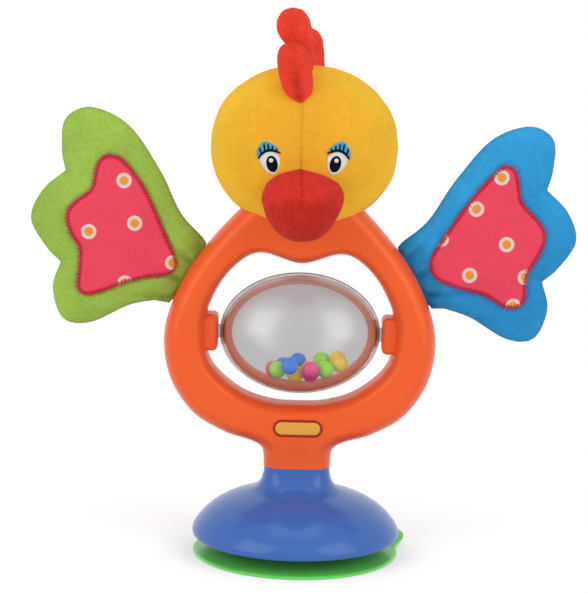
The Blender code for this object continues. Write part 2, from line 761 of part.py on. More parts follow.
def ring_openings():
    """Axle bores, wing slots and the head post's hole, shared by both shells."""
    holes = bmesh.new()
    for side in (-1, 1):
        add_rod(holes, (side * (BEARING_FACE - WALL), 0.0, AXLE_Z),
                (side * (AXLE_END + AXLE_CLEARANCE), 0.0, AXLE_Z), AXLE_RADIUS + AXLE_CLEARANCE)
        wide = ROOT_TAB_HALF_WIDTH + GAP
        thick = ROOT_TAB_HALF_THICKNESS + GAP
        slot = bmesh.new()
        add_box(slot, (-ROOT_TAB_DEPTH, -thick, -wide), (ROOT_TAB_DEPTH, thick, wide))
        slot.transform(wing_matrix(side))
        mesh = bpy.data.meshes.new("slot")
        slot.to_mesh(mesh)
        slot.free()
        holes.from_mesh(mesh)
        bpy.data.meshes.remove(mesh)
    add_rod(holes, (0.0, 0.0, POST_SHOULDER - WALL), (0.0, 0.0, RING_TOP_Z + WALL), POST_STEM_RADIUS + GAP)
    return cutter("ring_openings", holes)


def post_recess():
    """Room under the apex for the head post's flange."""
    recess = bmesh.new()
    add_rod(recess, (0.0, 0.0, POST_SHOULDER - POST_FLANGE_THICKNESS - WALL),
            (0.0, 0.0, POST_SHOULDER + GAP), POST_FLANGE_RADIUS + GAP, POST_STEPS)
    return cutter("post_recess", recess)


def shell_screw_holes(side):
    """Blind pilot holes in the front shell, through holes in the rear one."""
    holes = bmesh.new()
    x, y = neck_screw_places()[0 if side < 0 else 1]
    add_rod(holes, (x, y, SPIGOT_BOTTOM - WALL), (x, y, WEB_BOTTOM + NECK_SCREW_LENGTH + WALL),
            SCREW_HOLE_RADIUS, SCREW_STEPS)
    end = shell_screw_seat() - SHELL_SCREW_LENGTH - GAP if side < 0 else RING_HALF_DEPTH + WALL
    for x, z in shell_screw_places():
        add_rod(holes, (x, -side * WALL, z), (x, end, z), SCREW_HOLE_RADIUS, SCREW_STEPS)
    return holes


def make_shells():
    hollow = ring_hollow()
    blocks = bearing_blocks()
    spigot = cutter("neck_spigot", neck_prism(WALL + GAP, SPIGOT_BOTTOM, SEAM_Z + WALL / 2))
    openings = ring_openings()
    recess = post_recess()
    for name, side in (("front_shell", -1), ("rear_shell", 1)):
        shell = part(name, ring_solid(0.0), "orange", 0.28)
        boolean(shell, hollow)
        boolean(shell, blocks, "UNION")
        boolean(shell, spigot, "UNION")
        boolean(shell, openings)
        boolean(shell, recess)
        boolean(shell, cutter(name + "_screw_holes", shell_screw_holes(side)))
        if side > 0:
            seats = bmesh.new()
            for x, z in shell_screw_places():
                add_rod(seats, (x, shell_screw_seat(), z), (x, RING_HALF_DEPTH + WALL, z),
                        COUNTERBORE_RADIUS)
            boolean(shell, cutter("shell_screw_seats", seats))
        part_at_middle(shell, side)


def shell_screw_seat():
    """Depth of the screw seats in the rear shell."""
    return RING_HALF_DEPTH / 2


# Egg and beads

def egg_form(half_length, half_height, half_depth):
    """An ellipsoid about the axle, with its poles on it."""
    bm = bmesh.new()
    add_ellipsoid(bm, (0.0, 0.0, 0.0), (half_height, half_depth, half_length), EGG_STEPS)
    bm.transform(Matrix.Translation((0.0, 0.0, AXLE_Z)) @ Matrix.Rotation(math.pi / 2, 4, "Y"))
    return bm


def make_egg_halves():
    axle = bmesh.new()
    add_rod(axle, (-AXLE_END, 0.0, AXLE_Z), (AXLE_END, 0.0, AXLE_Z), AXLE_RADIUS)
    axle = cutter("egg_axle_pins", axle)
    cavity = cutter("egg_cavity", egg_form(CAVITY_LENGTH, CAVITY_HEIGHT, CAVITY_DEPTH))
    halves = []
    for name, side in (("egg_front", -1), ("egg_rear", 1)):
        half = part(name, egg_form(EGG_HALF_LENGTH, EGG_RADIUS, EGG_RADIUS), "clear", 0.1)
        boolean(half, axle, "UNION")
        boolean(half, cavity)
        part_at_middle(half, side)
        halves.append(half)
    return halves


def settle_beads():
    """Let the beads sink to the bottom of the egg and part from each other."""
    round_room = min(CAVITY_HEIGHT, CAVITY_DEPTH) - BEAD_RADIUS - BEAD_GAP
    room = Vector((CAVITY_LENGTH - BEAD_RADIUS - BEAD_GAP, round_room, round_room))
    apart = 2 * BEAD_RADIUS + BEAD_GAP
    centers = [Vector((x, y, -round_room * START_DEPTH)) for color, x, y in BEAD_STARTS]
    for step in range(SINK_STEPS + CALM_STEPS):
        for center in centers:
            if step < SINK_STEPS:
                center.z -= SINK_PER_STEP
            level = Vector([at / limit for at, limit in zip(center, room)]).length
            if level > 1.0:
                center /= level
        for i, one in enumerate(centers):
            for two in centers[i + 1:]:
                between = two - one
                short = apart - between.length
                if short > 0:
                    push = between.normalized() * short * 0.5
                    one -= push
                    two += push
    return [center + Vector((0.0, 0.0, AXLE_Z)) for center in centers]


def make_beads():
    beads = []
    for number, (start, center) in enumerate(zip(BEAD_STARTS, settle_beads()), 1):
        bm = bmesh.new()
        bmesh.ops.create_icosphere(bm, subdivisions=2, radius=BEAD_RADIUS, matrix=Matrix.Translation(center))
        beads.append(part(f"bead_{number:02d}", bm, "bead " + start[0], 0.25))
    return beads


# Wings

def shrink_outline(outline, inset):
    """Move a closed outline towards its inside."""
    count = len(outline)
    area = sum(outline[i][0] * outline[(i + 1) % count][1] - outline[(i + 1) % count][0] * outline[i][1]
               for i in range(count))
    sign = 1 if area > 0 else -1
    moved = []
    for i in range(count):
        before = Vector(outline[i]) - Vector(outline[i - 1])
        after = Vector(outline[(i + 1) % count]) - Vector(outline[i])
        normals = [Vector((-d.y, d.x)).normalized() * sign for d in (before, after)]
        middle = (normals[0] + normals[1]).normalized()
        moved.append(Vector(outline[i]) + middle * inset / max(0.5, middle.dot(normals[0])))
    return [(p.x, p.y) for p in moved]


def pillow_rings(outline, base, steps):
    """Rings of a puffed skin: (inset, height) steps in from the outline."""
    rings = [[(x, base, z) for x, z in outline]]
    for inset, height in steps:
        shrunk = shrink_outline(outline, inset)
        rings.append([(x, height, z) for x, z in shrunk])
    return rings


def open_skin(rings):
    """Join rings into an open skin, filled at the last one."""
    bm = bmesh.new()
    rows = [[bm.verts.new(p) for p in ring] for ring in rings]
    count = len(rows[0])
    for outer, inner in zip(rows, rows[1:]):
        for i in range(count):
            j = (i + 1) % count
            bm.faces.new((outer[i], outer[j], inner[j], inner[i]))
    top = bm.faces.new(rows[-1])
    bmesh.ops.triangulate(bm, faces=[top])
    return bm


def place_wing_mesh(bm, side):
    if side < 0:
        bm.transform(Matrix.Diagonal((-1.0, 1.0, 1.0, 1.0)))
    bm.transform(wing_matrix(side))
    return bm


def wing_steps(loft_height, edge, slack=0.0):
    """How the wing's padding rises from its seam to its flat middle."""
    return [(slack + inset, edge + (loft_height - edge) * share) for inset, share in WING_SLOPE]


def make_wing_panel(name, side, facing, color, outline):
    """The sewn cover of one face of a wing."""
    steps = [(inset, facing * height) for inset, height in wing_steps(WING_LOFT, WING_EDGE)]
    skin = open_skin(pillow_rings(outline, facing * GAP / 2, steps))
    panel = part(name, place_wing_mesh(skin, side), color, 0.9)
    cover = panel.modifiers.new("cloth", "SOLIDIFY")
    cover.thickness = FABRIC
    cover.offset = -1.0
    return panel


def make_wing_filling(name, side, outline):
    inner = shrink_outline(outline, FABRIC + 3 * GAP)
    steps = wing_steps(WING_LOFT - FABRIC - GAP, WING_EDGE / 2, FILLING_SLACK)[1::2]
    front = pillow_rings(inner, 0.0, [(inset, -height) for inset, height in steps])
    back = pillow_rings(inner, 0.0, steps)
    bm = loft([*reversed(front), *back[1:]])
    return part(name, place_wing_mesh(bm, side), "white", 0.95)


def make_wing_patch(name, side):
    outline = smooth_path(PATCH_OUTLINE)
    front = -(WING_LOFT + GAP + PATCH_THICKNESS)
    bm = flat_plate(outline, front, front + PATCH_THICKNESS)
    return part(name, place_wing_mesh(bm, side), "pink", 0.85)


def make_wing_root(name, side, color):
    """The tab that the two shells clamp, with a rolled hem inside them."""
    thick = ROOT_TAB_HALF_THICKNESS
    outer = WING_HINGE - WING_CLEARANCE
    hem = ROOT_HEM_RADIUS
    profile = [(outer, -thick), (outer, thick)]
    opening = math.asin(thick / hem)
    for k in range(ROOT_HEM_STEPS + 1):
        angle = opening + (2 * math.pi - 2 * opening) * k / ROOT_HEM_STEPS
        profile.append((-ROOT_TAB_DEPTH + hem * math.cos(angle), hem * math.sin(angle)))
    bm = flat_plate(profile, -ROOT_TAB_HALF_WIDTH, ROOT_TAB_HALF_WIDTH)
    bm.transform(Matrix.Rotation(math.pi / 2, 4, "X"))
    return part(name, place_wing_mesh(bm, side), color, 0.9)


def make_wing(side, word, color):
    outline = smooth_path(WING_OUTLINE, WING_CORNERS)
    pivot = bpy.data.objects.new(word + "_wing_hinge", None)
    pivot.matrix_world = wing_matrix(side) @ Matrix.Translation((side * WING_HINGE, 0.0, 0.0))
    PARTS.objects.link(pivot)
    pieces = [
        make_wing_panel(word + "_wing_front", side, -1, color, outline),
        make_wing_panel(word + "_wing_back", side, 1, color, outline),
        make_wing_filling(word + "_wing_filling", side, outline),
        make_wing_patch(word + "_wing_patch", side),
    ]
    make_wing_root(word + "_wing_root", side, color)
    carry(pieces, pivot)


# Head

def head_solid(grow=0.0):
    bm = bmesh.new()
    sizes = (HEAD_HALF_WIDTH + grow, HEAD_HALF_DEPTH + grow, HEAD_HALF_HEIGHT + grow)
    add_ellipsoid(bm, (0.0, 0.0, HEAD_Z), sizes, HEAD_STEPS)
    return bm


def crown_profile(grow=0.0):
    """Head post above the ring: stem and the crown that holds the stuffing."""
    top = POST_CROWN_Z + POST_CROWN_THICKNESS
    return [
        (0.0, top + grow), (POST_CROWN_FLAT_RADIUS, top + grow),
        (POST_CROWN_RADIUS + grow, POST_CROWN_Z + POST_CROWN_THICKNESS / 2),
        (POST_CROWN_RADIUS + grow, POST_CROWN_Z - grow), (POST_STEM_RADIUS + grow, POST_CROWN_Z - grow),
    ]


def make_head_post():
    foot = POST_SHOULDER - POST_FLANGE_THICKNESS
    profile = [
        *crown_profile(), (POST_STEM_RADIUS, POST_SHOULDER), (POST_FLANGE_RADIUS, POST_SHOULDER),
        (POST_FLANGE_RADIUS, foot), (0.0, foot),
    ]
    return part("head_post", turned(profile, POST_STEPS), "white", 0.4)


def bulb_profile(grow=0.0):
    """Squeaker bulb: a pleated bellows over a short neck."""
    bottom = REED_BOTTOM + GAP
    top = bottom + BULB_HEIGHT
    profile = [(0.0, top + grow), (BULB_TOP_RADIUS + grow, top + grow)]
    for k in range(BULB_PLEATS):
        z = top - BULB_SHOULDER - k * BULB_PLEAT_PITCH
        profile.append((BULB_RADIUS + grow, z))
        if k < BULB_PLEATS - 1:
            profile.append((BULB_RADIUS - BULB_PLEAT_DEPTH + grow, z - BULB_PLEAT_PITCH / 2))
    profile.append((BULB_NECK_RADIUS + grow, bottom - grow))
    return profile


def make_squeaker():
    bottom = REED_BOTTOM + GAP
    pocket = REED_RADIUS + GAP
    ceiling = bottom + REED_LENGTH
    profile = [*bulb_profile(), (pocket, bottom), (pocket, ceiling), (0.0, ceiling)]
    part("squeaker_bulb", turned(profile, POST_STEPS), "white", 0.4)
    reed = bmesh.new()
    add_rod(reed, (0.0, 0.0, REED_BOTTOM), (0.0, 0.0, REED_BOTTOM + REED_LENGTH), REED_RADIUS)
    part("squeaker_reed", reed, "white", 0.3)


def make_head():
    head = part("head", head_solid(), "yellow", 0.9)
    pocket = rounded_plate([ring_outline()], RING_HALF_DEPTH + GAP, RING_ROUND, GAP)
    boolean(head, cutter("ring_pocket", pocket))
    post = [*crown_profile(GAP), (POST_STEM_RADIUS + GAP, RING_TOP_Z - WALL), (0.0, RING_TOP_Z - WALL)]
    boolean(head, cutter("post_pocket", turned(post, POST_STEPS)))
    bulb = [*bulb_profile(GAP), (REED_RADIUS + GAP, REED_BOTTOM), (REED_RADIUS + GAP, POST_CROWN_Z),
            (0.0, POST_CROWN_Z)]
    boolean(head, cutter("squeaker_pocket", turned(bulb, POST_STEPS)))
    return head


def make_comb():
    """Three stuffed lobes along the top of the head, seen edge on from the front."""
    outline = smooth_path(COMB_OUTLINE, COMB_CORNERS)
    steps = [(share * COMB_SEAM_REACH, rise * COMB_HALF_THICKNESS) for share, rise in COMB_SLOPE]
    front = pillow_rings(outline, 0.0, [(inset, -height) for inset, height in steps])
    back = pillow_rings(outline, 0.0, steps)
    bm = loft([*reversed(front), *back[1:]])
    bm.transform(Matrix.Rotation(math.pi / 2, 4, "Z"))
    for vert in bm.verts:
        share = max(0.0, vert.co.z - COMB_LEAN_START_Z) / (COMB_LEAN_END_Z - COMB_LEAN_START_Z)
        vert.co.x -= COMB_LEAN * share * math.cos(vert.co.y / COMB_WAVE)
    comb = part("comb", bm, "red", 0.9)
    boolean(comb, head_cutter())
    return comb


def make_beak():
    center = Vector((BEAK_X, BEAK_TIP_Y + BEAK_HALF_DEPTH, BEAK_Z))
    bm = bmesh.new()
    add_ellipsoid(bm, (0.0, 0.0, 0.0), (BEAK_HALF_WIDTH, BEAK_HALF_DEPTH, BEAK_HALF_HEIGHT), BEAK_STEPS)
    for vert in bm.verts:
        share = max(0.0, vert.co.z / BEAK_HALF_HEIGHT)
        vert.co.x *= 1.0 - BEAK_BROW_TAPER * share * share
        vert.co.y += BEAK_BROW_SETBACK * share
    bm.transform(Matrix.Translation(center))
    beak = part("beak", bm, "beak", 0.9)
    boolean(beak, head_cutter())
    return beak


def head_cutter():
    existing = bpy.data.objects.get("head_clearance")
    return existing or cutter("head_clearance", head_solid(GAP))


def carry(objects, empty):
    """Parent objects to an empty and leave them where they are."""
    bpy.context.view_layer.update()
    for obj in objects:
        obj.parent = empty
        obj.matrix_parent_inverse = empty.matrix_world.inverted()


def make_base():
    make_suction_cup()
    make_base_dome()
    make_base_plate()
    for number, (x, y) in enumerate(base_post_places(), 1):
        seat = (x, y, PLATE_BOTTOM + PLATE_THICKNESS / 2)
        make_screw(f"base_screw_{number}", seat, (0.0, 0.0, 1.0), BASE_SCREW_LENGTH)
    for number, (x, y) in enumerate(neck_screw_places(), 1):
        make_screw(f"neck_screw_{number}", (x, y, WEB_BOTTOM), (0.0, 0.0, 1.0), NECK_SCREW_LENGTH)


def make_ring():
    make_shells()
    for number, (x, z) in enumerate(shell_screw_places(), 1):
        make_screw(f"shell_screw_{number}", (x, shell_screw_seat(), z), (0.0, -1.0, 0.0), SHELL_SCREW_LENGTH)


def make_egg():
    halves = make_egg_halves()
    axle = bpy.data.objects.new("egg_axle", None)
    axle.location = (0.0, 0.0, AXLE_Z)
    PARTS.objects.link(axle)
    carry([*halves, *make_beads()], axle)


clear_scene()
PARTS = make_collection("suction_cup_hen_toy")
CUTTERS = make_collection("cutters")
make_base()
make_ring()
make_egg()
make_wing(-1, "left", "lime")
make_wing(1, "right", "sky")
make_head()
make_head_post()
make_squeaker()
make_comb()
make_beak()
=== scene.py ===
"""Dresses the suction cup hen toy: moulded ring, base and egg, and sewn head and wings.

Metres, +Z up, the face looks along -Y. Tables of points are in millimetres. Left and
right are as the toy is seen from the front.
"""
import math
from contextlib import contextmanager

import bmesh
import bpy
import numpy as np
from bpy.props import FloatProperty, FloatVectorProperty, PointerProperty
from mathutils import Matrix, Vector, noise
from mathutils.geometry import delaunay_2d_cdt


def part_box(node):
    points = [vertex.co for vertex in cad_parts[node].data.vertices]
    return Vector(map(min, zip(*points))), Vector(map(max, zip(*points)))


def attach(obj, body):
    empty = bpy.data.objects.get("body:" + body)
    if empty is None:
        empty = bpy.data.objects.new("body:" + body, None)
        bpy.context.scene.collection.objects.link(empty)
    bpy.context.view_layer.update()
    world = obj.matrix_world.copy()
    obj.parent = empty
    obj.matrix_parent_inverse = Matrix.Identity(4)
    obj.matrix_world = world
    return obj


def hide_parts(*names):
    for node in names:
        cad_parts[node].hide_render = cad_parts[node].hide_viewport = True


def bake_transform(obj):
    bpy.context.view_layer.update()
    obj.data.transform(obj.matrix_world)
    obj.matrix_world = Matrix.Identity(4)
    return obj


bl_info = {
    "name": "Suction Cup Hen Toy",
    "version": (1, 0, 0),
    "blender": (4, 5, 0),
    "location": "View3D > Sidebar > Hen Toy",
    "description": "Builds the dressed model of a suction cup hen toy around its frame",
    "category": "Object",
}

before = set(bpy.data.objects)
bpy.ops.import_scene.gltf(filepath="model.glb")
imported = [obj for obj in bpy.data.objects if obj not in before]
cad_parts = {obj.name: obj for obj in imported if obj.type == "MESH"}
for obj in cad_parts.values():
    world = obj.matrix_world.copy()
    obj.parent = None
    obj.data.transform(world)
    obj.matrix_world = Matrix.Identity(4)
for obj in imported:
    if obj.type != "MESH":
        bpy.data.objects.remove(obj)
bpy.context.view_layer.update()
MM = 0.001
MERGE = 0.000002
WHITE = (1.0, 1.0, 1.0)
GREY = (0.5, 0.5, 0.5, 1.0)


def box_size(node, axis):
    low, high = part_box(node)
    return high[axis] - low[axis]


def box_middle(node):
    low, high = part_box(node)
    return [(a + b) / 2 for a, b in zip(low, high)]


def srgb(red, green, blue):
    """Linear colour from a picture's 0 to 255 values."""
    shares = [c / 255 for c in (red, green, blue)]
    return tuple(c / 12.92 if c <= 0.04045 else ((c + 0.055) / 1.055) ** 2.4 for c in shares)


def color_setting(name, description, rgb):
    return FloatVectorProperty(name=name, description=description, default=srgb(*rgb),
                               subtype="COLOR", size=3, min=0.0, max=1.0)


def length_setting(name, description, default):
    return FloatProperty(name=name, description=description, default=default,
                         min=0.0, unit="LENGTH", precision=5)


class HenPlastics(bpy.types.PropertyGroup):
    """Colours and gloss of the moulded pieces."""
    ring: color_setting("Ring", "Colour of the ring shells", (238, 88, 42))
    base: color_setting("Base", "Colour of the dome", (56, 102, 180))
    cup: color_setting("Cup", "Colour of the suction cup", (112, 222, 96))
    egg: color_setting("Egg", "Tint of the clear egg", (217, 216, 217))
    # The belt's tint is a painted reflection of the orange ring.
    belt: color_setting("Belt", "Tint of the egg's belt", (255, 200, 180))
    plate: color_setting("Plate", "Colour of the bare name plate", (222, 160, 60))
    plate_rim: color_setting("Plate rim", "Colour of the name plate's rim", (160, 40, 22))
    gloss: FloatProperty(name="Roughness", description="Roughness of the moulded plastic",
                         default=0.26, min=0.0, max=1.0, subtype="FACTOR")


class HenCloths(bpy.types.PropertyGroup):
    """Colours and pile of the sewn pieces."""
    head: color_setting("Head", "Colour of the head's velour", (240, 172, 46))
    comb: color_setting("Comb", "Colour of the comb", (238, 64, 44))
    beak: color_setting("Beak", "Colour of the beak", (212, 48, 38))
    left_wing: color_setting("Left wing", "Colour of the lime wing", (158, 192, 80))
    right_wing: color_setting("Right wing", "Colour of the blue wing", (52, 158, 218))
    patch: color_setting("Patch", "Colour of the printed patches", (230, 60, 86))
    patch_thread: color_setting("Patch thread", "Colour of the patches' border stitches",
                                (210, 34, 74))
    pile: length_setting("Pile", "Size of one tuft of the velour", 0.00042)
    seam_depth: length_setting("Seam depth", "How deep the sewn seams draw in", 0.0007)


class HenStitching(bpy.types.PropertyGroup):
    """Sizes of the border stitches."""
    length: length_setting("Length", "Length of one border stitch", 0.0030)
    width: length_setting("Width", "Thread width of a border stitch", 0.00050)
    spacing: length_setting("Spacing", "Distance from stitch to stitch", 0.00082)


class HenStudio(bpy.types.PropertyGroup):
    """Camera and light."""
    lens: FloatProperty(name="Lens", description="Focal length in millimetres", default=116.1,
                        min=10.0, max=300.0)
    softbox: FloatProperty(name="Softbox", description="Power of each softbox", default=4.2,
                           min=0.0, unit="POWER")
    daylight: FloatProperty(name="Daylight", description="Strength of the even light all round",
                            default=0.55, min=0.0)


# Nodes

def connect(tree, node, values):
    """Set the node's inputs, by name or place, to plain values or to other nodes' outputs."""
    for key, value in dict(values).items():
        if isinstance(value, bpy.types.NodeSocket):
            tree.links.new(value, node.inputs[key])
        else:
            node.inputs[key].default_value = value
    return node


def add_node(tree, kind, inputs=(), **settings):
    node = tree.nodes.new(kind)
    for key, value in settings.items():
        setattr(node, key, value)
    return connect(tree, node, inputs)


def calc(tree, operation, *values):
    return add_node(tree, "ShaderNodeMath", dict(enumerate(values)),
                    operation=operation).outputs[0]


def ramp(tree, value, low, high, start=0.0, end=1.0, **settings):
    """The value's way from low to high as a number from start to end."""
    return add_node(tree, "ShaderNodeMapRange", {
        "Value": value, "From Min": low, "From Max": high, "To Min": start, "To Max": end},
        **settings).outputs[0]


def mixed(tree, blend, factor, first, second):
    """Colour mix; the sockets are set by their place because their names repeat."""
    colors = [c if isinstance(c, bpy.types.NodeSocket) else (*c[:3], 1.0) for c in (first, second)]
    return add_node(tree, "ShaderNodeMix", {0: factor, 6: colors[0], 7: colors[1]},
                    data_type="RGBA", blend_type=blend).outputs[2]


def scaled(tree, color, factor):
    return add_node(tree, "ShaderNodeVectorMath", {0: color, "Scale": factor},
                    operation="SCALE").outputs[0]


def cloudy(tree, place, scale, detail, roughness, distortion=0.0):
    return add_node(tree, "ShaderNodeTexNoise", {
        "Vector": place, "Scale": scale, "Detail": detail, "Roughness": roughness,
        "Distortion": distortion}).outputs["Fac"]


def object_place(tree):
    return add_node(tree, "ShaderNodeTexCoord").outputs["Object"]


def facing(tree):
    """0 where the surface faces the view, 1 where it is seen edge-on."""
    return add_node(tree, "ShaderNodeLayerWeight", {"Blend": 0.5}).outputs["Facing"]


def bumped(tree, height, strength, distance):
    return add_node(tree, "ShaderNodeBump", {
        "Strength": strength, "Distance": distance, "Height": height}).outputs["Normal"]


def new_tree(name, kind, inputs, outputs):
    """A node group: the tree, the sockets that it is given, and its output node."""
    tree = bpy.data.node_groups.new(name, kind)
    for way, sockets in (("INPUT", inputs), ("OUTPUT", outputs)):
        for label, socket_type, *default in sockets:
            socket = tree.interface.new_socket(label, in_out=way,
                                               socket_type="NodeSocket" + socket_type)
            if default:
                socket.default_value = default[0]
    return tree, tree.nodes.new("NodeGroupInput").outputs, tree.nodes.new("NodeGroupOutput")


# Shared shader groups

def pile_group():
    """Short velour pile: tufts, a faint knit below it and slow changes of shade."""
    group, given, out = new_tree(
        "Velour pile", "ShaderNodeTree",
        (("Color", "Color", GREY), ("Tufts per Metre", "Float", 2400.0),
         ("Knit per Metre", "Float", 1100.0), ("Mottle", "Float", 0.12)),
        (("Color", "Color"), ("Height", "Float")))
    place = object_place(group)
    tufts = cloudy(group, place, given["Tufts per Metre"], 2.0, 0.6)
    brushed = cloudy(group, place, 420.0, 3.0, 0.8, 0.6)
    slow = cloudy(group, place, 38.0, 2.0, 0.5)
    knit = add_node(group, "ShaderNodeTexWave", {
        "Vector": place, "Scale": given["Knit per Metre"], "Distortion": 1.5,
        "Detail": 1.0, "Detail Scale": 1.4}, bands_direction="X").outputs["Fac"]
    level = calc(group, "ADD", calc(group, "ADD", tufts, brushed), slow)
    swing = calc(group, "MULTIPLY", calc(group, "SUBTRACT", level, 1.5), given["Mottle"])
    connect(group, out, {
        "Color": scaled(group, given["Color"], calc(group, "ADD", swing, 1.0)),
        "Height": calc(group, "ADD", tufts, calc(group, "MULTIPLY", knit, 0.22))})
    return group


def moulding_group():
    """Moulded plastic: a faint orange peel and a soft haze from handling."""
    group, given, out = new_tree(
        "Moulded surface", "ShaderNodeTree",
        (("Color", "Color", GREY), ("Roughness", "Float", 0.25), ("Haze", "Float", 0.07)),
        (("Color", "Color"), ("Roughness", "Float"), ("Height", "Float")))
    place = object_place(group)
    haze = cloudy(group, place, 55.0, 5.0, 0.62)
    swing = calc(group, "MULTIPLY", calc(group, "SUBTRACT", haze, 0.5), given["Haze"])
    connect(group, out, {
        "Color": scaled(group, given["Color"], calc(group, "ADD", swing, 1.0)),
        "Roughness": calc(group, "ADD", given["Roughness"], swing),
        "Height": cloudy(group, place, 520.0, 1.0, 0.4)})
    return group


def thread_group():
    """Satin stitches laid side by side, as in embroidery."""
    group, given, out = new_tree(
        "Satin thread", "ShaderNodeTree",
        (("Color", "Color", GREY), ("Threads per Metre", "Float", 1300.0),
         ("Slant", "Vector", (0.0, 0.3, 0.0))),
        (("Color", "Color"), ("Height", "Float")))
    turned = add_node(group, "ShaderNodeMapping", {
        "Vector": object_place(group), "Rotation": given["Slant"]})
    lines = add_node(group, "ShaderNodeTexWave", {
        "Vector": turned.outputs[0], "Scale": given["Threads per Metre"],
        "Distortion": 1.2, "Detail": 1.0}, bands_direction="X").outputs["Fac"]
    connect(group, out, {
        "Color": scaled(group, given["Color"], ramp(group, lines, 0.0, 1.0, 0.80, 1.08)),
        "Height": lines})
    return group


GROUP_MAKERS = {"pile": pile_group, "moulding": moulding_group, "thread": thread_group}
GROUPS = {}


def group_node(tree, name, inputs):
    """The outputs of a shared group, which is made when it is first asked for."""
    if name not in GROUPS:
        GROUPS[name] = GROUP_MAKERS[name]()
    return add_node(tree, "ShaderNodeGroup", inputs, node_tree=GROUPS[name]).outputs


# Materials

def new_material(name):
    material = bpy.data.materials.new(name)
    material.use_nodes = True
    tree = material.node_tree
    return material, tree, tree.nodes["Principled BSDF"]


def mix_surface(tree, share, first, second):
    """End the material in a mix of two shaders."""
    mix = add_node(tree, "ShaderNodeMixShader", {
        0: share, 1: first.outputs[0], 2: second.outputs[0]})
    connect(tree, tree.nodes["Material Output"], {"Surface": mix.outputs[0]})


def velour(name, color, mottle=0.3, shade_color=(0.42, 0.30, 0.30), slanted=WHITE):
    """Brushed knit cloth with painted shade where the mesh's seam attribute asks for it.

    slanted is a painted sheen: the change of colour where the pile is seen from its side.
    """
    cloths = bpy.context.scene.hen_cloths
    material, tree, shader = new_material(name)
    pile = group_node(tree, "pile", {
        "Color": (*color, 1.0), "Tufts per Metre": 1.0 / cloths.pile, "Mottle": mottle})
    # Painted sheen: the colour changes by slanted where the pile is seen edge-on.
    brushed = mixed(tree, "MULTIPLY", ramp(tree, facing(tree), 0.0, 0.5), pile["Color"], slanted)
    # Painted shade: the seam attribute darkens the colour towards shade_color.
    seam = add_node(tree, "ShaderNodeAttribute", attribute_name="seam").outputs["Fac"]
    connect(tree, shader, {
        "Base Color": mixed(tree, "MULTIPLY", seam, brushed, shade_color),
        "Roughness": 0.95, "Specular IOR Level": 0.1, "Sheen Weight": 0.12,
        "Sheen Roughness": 0.5, "Sheen Tint": (*[0.5 + 0.5 * c for c in color], 1.0),
        "Normal": bumped(tree, pile["Height"], 0.7, cloths.pile)})
    return material


def surfaced(name, color, roughness, haze, peel, values):
    """A material over the moulding group. values are further inputs of its shader."""
    material, tree, shader = new_material(name)
    surface = group_node(tree, "moulding", {
        "Color": (*color, 1.0), "Roughness": roughness, "Haze": haze})
    connect(tree, shader, {
        "Base Color": surface["Color"], "Roughness": surface["Roughness"],
        "Normal": bumped(tree, surface["Height"], *peel), **values})
    return material


def moulded(name, color, roughness, coat=0.0, subsurface=0.0, shine=0.5, tint=WHITE):
    """Glossy injection moulded plastic or soft vinyl."""
    return surfaced(name, color, roughness, 0.07, (0.06, 0.0002), {
        "IOR": 1.49, "Specular IOR Level": shine, "Specular Tint": (*tint, 1.0),
        "Coat Weight": coat, "Coat Roughness": 0.08, "Subsurface Weight": subsurface,
        "Subsurface Radius": (0.004, 0.003, 0.002), "Subsurface Scale": 1.0})


def clear_plastic(name, color, roughness, edge_tint=WHITE, painted_ring_reflection=WHITE):
    """Thin clear plastic: hardly bends the view, but shines like a lacquer.

    edge_tint darkens it where the wall is seen along its length, and the last tint paints a
    reflection of the orange ring below its top.
    """
    material, tree, shader = new_material(name)
    surface = group_node(tree, "moulding", {
        "Color": (*color, 1.0), "Roughness": roughness, "Haze": 0.05})
    edge = ramp(tree, facing(tree), 0.55, 0.95)
    height = add_node(tree, "ShaderNodeSeparateXYZ", {0: object_place(tree)}).outputs["Z"]
    # Painted reflection of the ring: the lower tint grows from the egg's top down to its axle.
    low = ramp(tree, height, AXLE_Z + EGG_RADIUS, AXLE_Z)
    tinted = mixed(tree, "MULTIPLY", edge, surface["Color"], edge_tint)
    connect(tree, shader, {
        "Base Color": mixed(tree, "MULTIPLY", low, tinted, painted_ring_reflection), "Roughness": roughness,
        "IOR": 1.12, "Transmission Weight": 1.0, "Coat Weight": 1.0, "Coat Roughness": 0.3,
        "Coat IOR": 1.6})
    rays = add_node(tree, "ShaderNodeLightPath").outputs
    mix_surface(tree, rays["Is Shadow Ray"], shader, add_node(tree, "ShaderNodeBsdfTransparent"))
    return material


def embroidered(name, color, slant, shine=0.3):
    """Raised satin stitches."""
    material, tree, shader = new_material(name)
    thread = group_node(tree, "thread", {
        "Color": (*color, 1.0), "Threads per Metre": 1300.0, "Slant": slant})
    connect(tree, shader, {
        "Base Color": thread["Color"], "Roughness": 0.55, "Specular IOR Level": shine,
        "Normal": bumped(tree, thread["Height"], 0.5, 0.0002)})
    return material


# Mesh making

@contextmanager
def edited(mesh):
    """The mesh opened for changes, which it keeps."""
    bm = bmesh.new()
    bm.from_mesh(mesh)
    yield bm
    bm.to_mesh(mesh)
    bm.free()


def link_object(name, data):
    obj = bpy.data.objects.new(name, data)
    bpy.context.scene.collection.objects.link(obj)
    return obj


def object_from(name, bm):
    mesh = bpy.data.meshes.new(name)
    bm.to_mesh(mesh)
    bm.free()
    return link_object(name, mesh)


def finish_mesh(mesh, sharp=None):
    """Merge what touches, turn the faces outwards and shade them round."""
    with edited(mesh) as bm:
        bmesh.ops.remove_doubles(bm, verts=bm.verts, dist=MERGE)
        bm.normal_update()
        bmesh.ops.recalc_face_normals(bm, faces=bm.faces)
    mesh.shade_smooth()
    if sharp:
        mesh.set_sharp_from_angle(angle=math.radians(sharp))


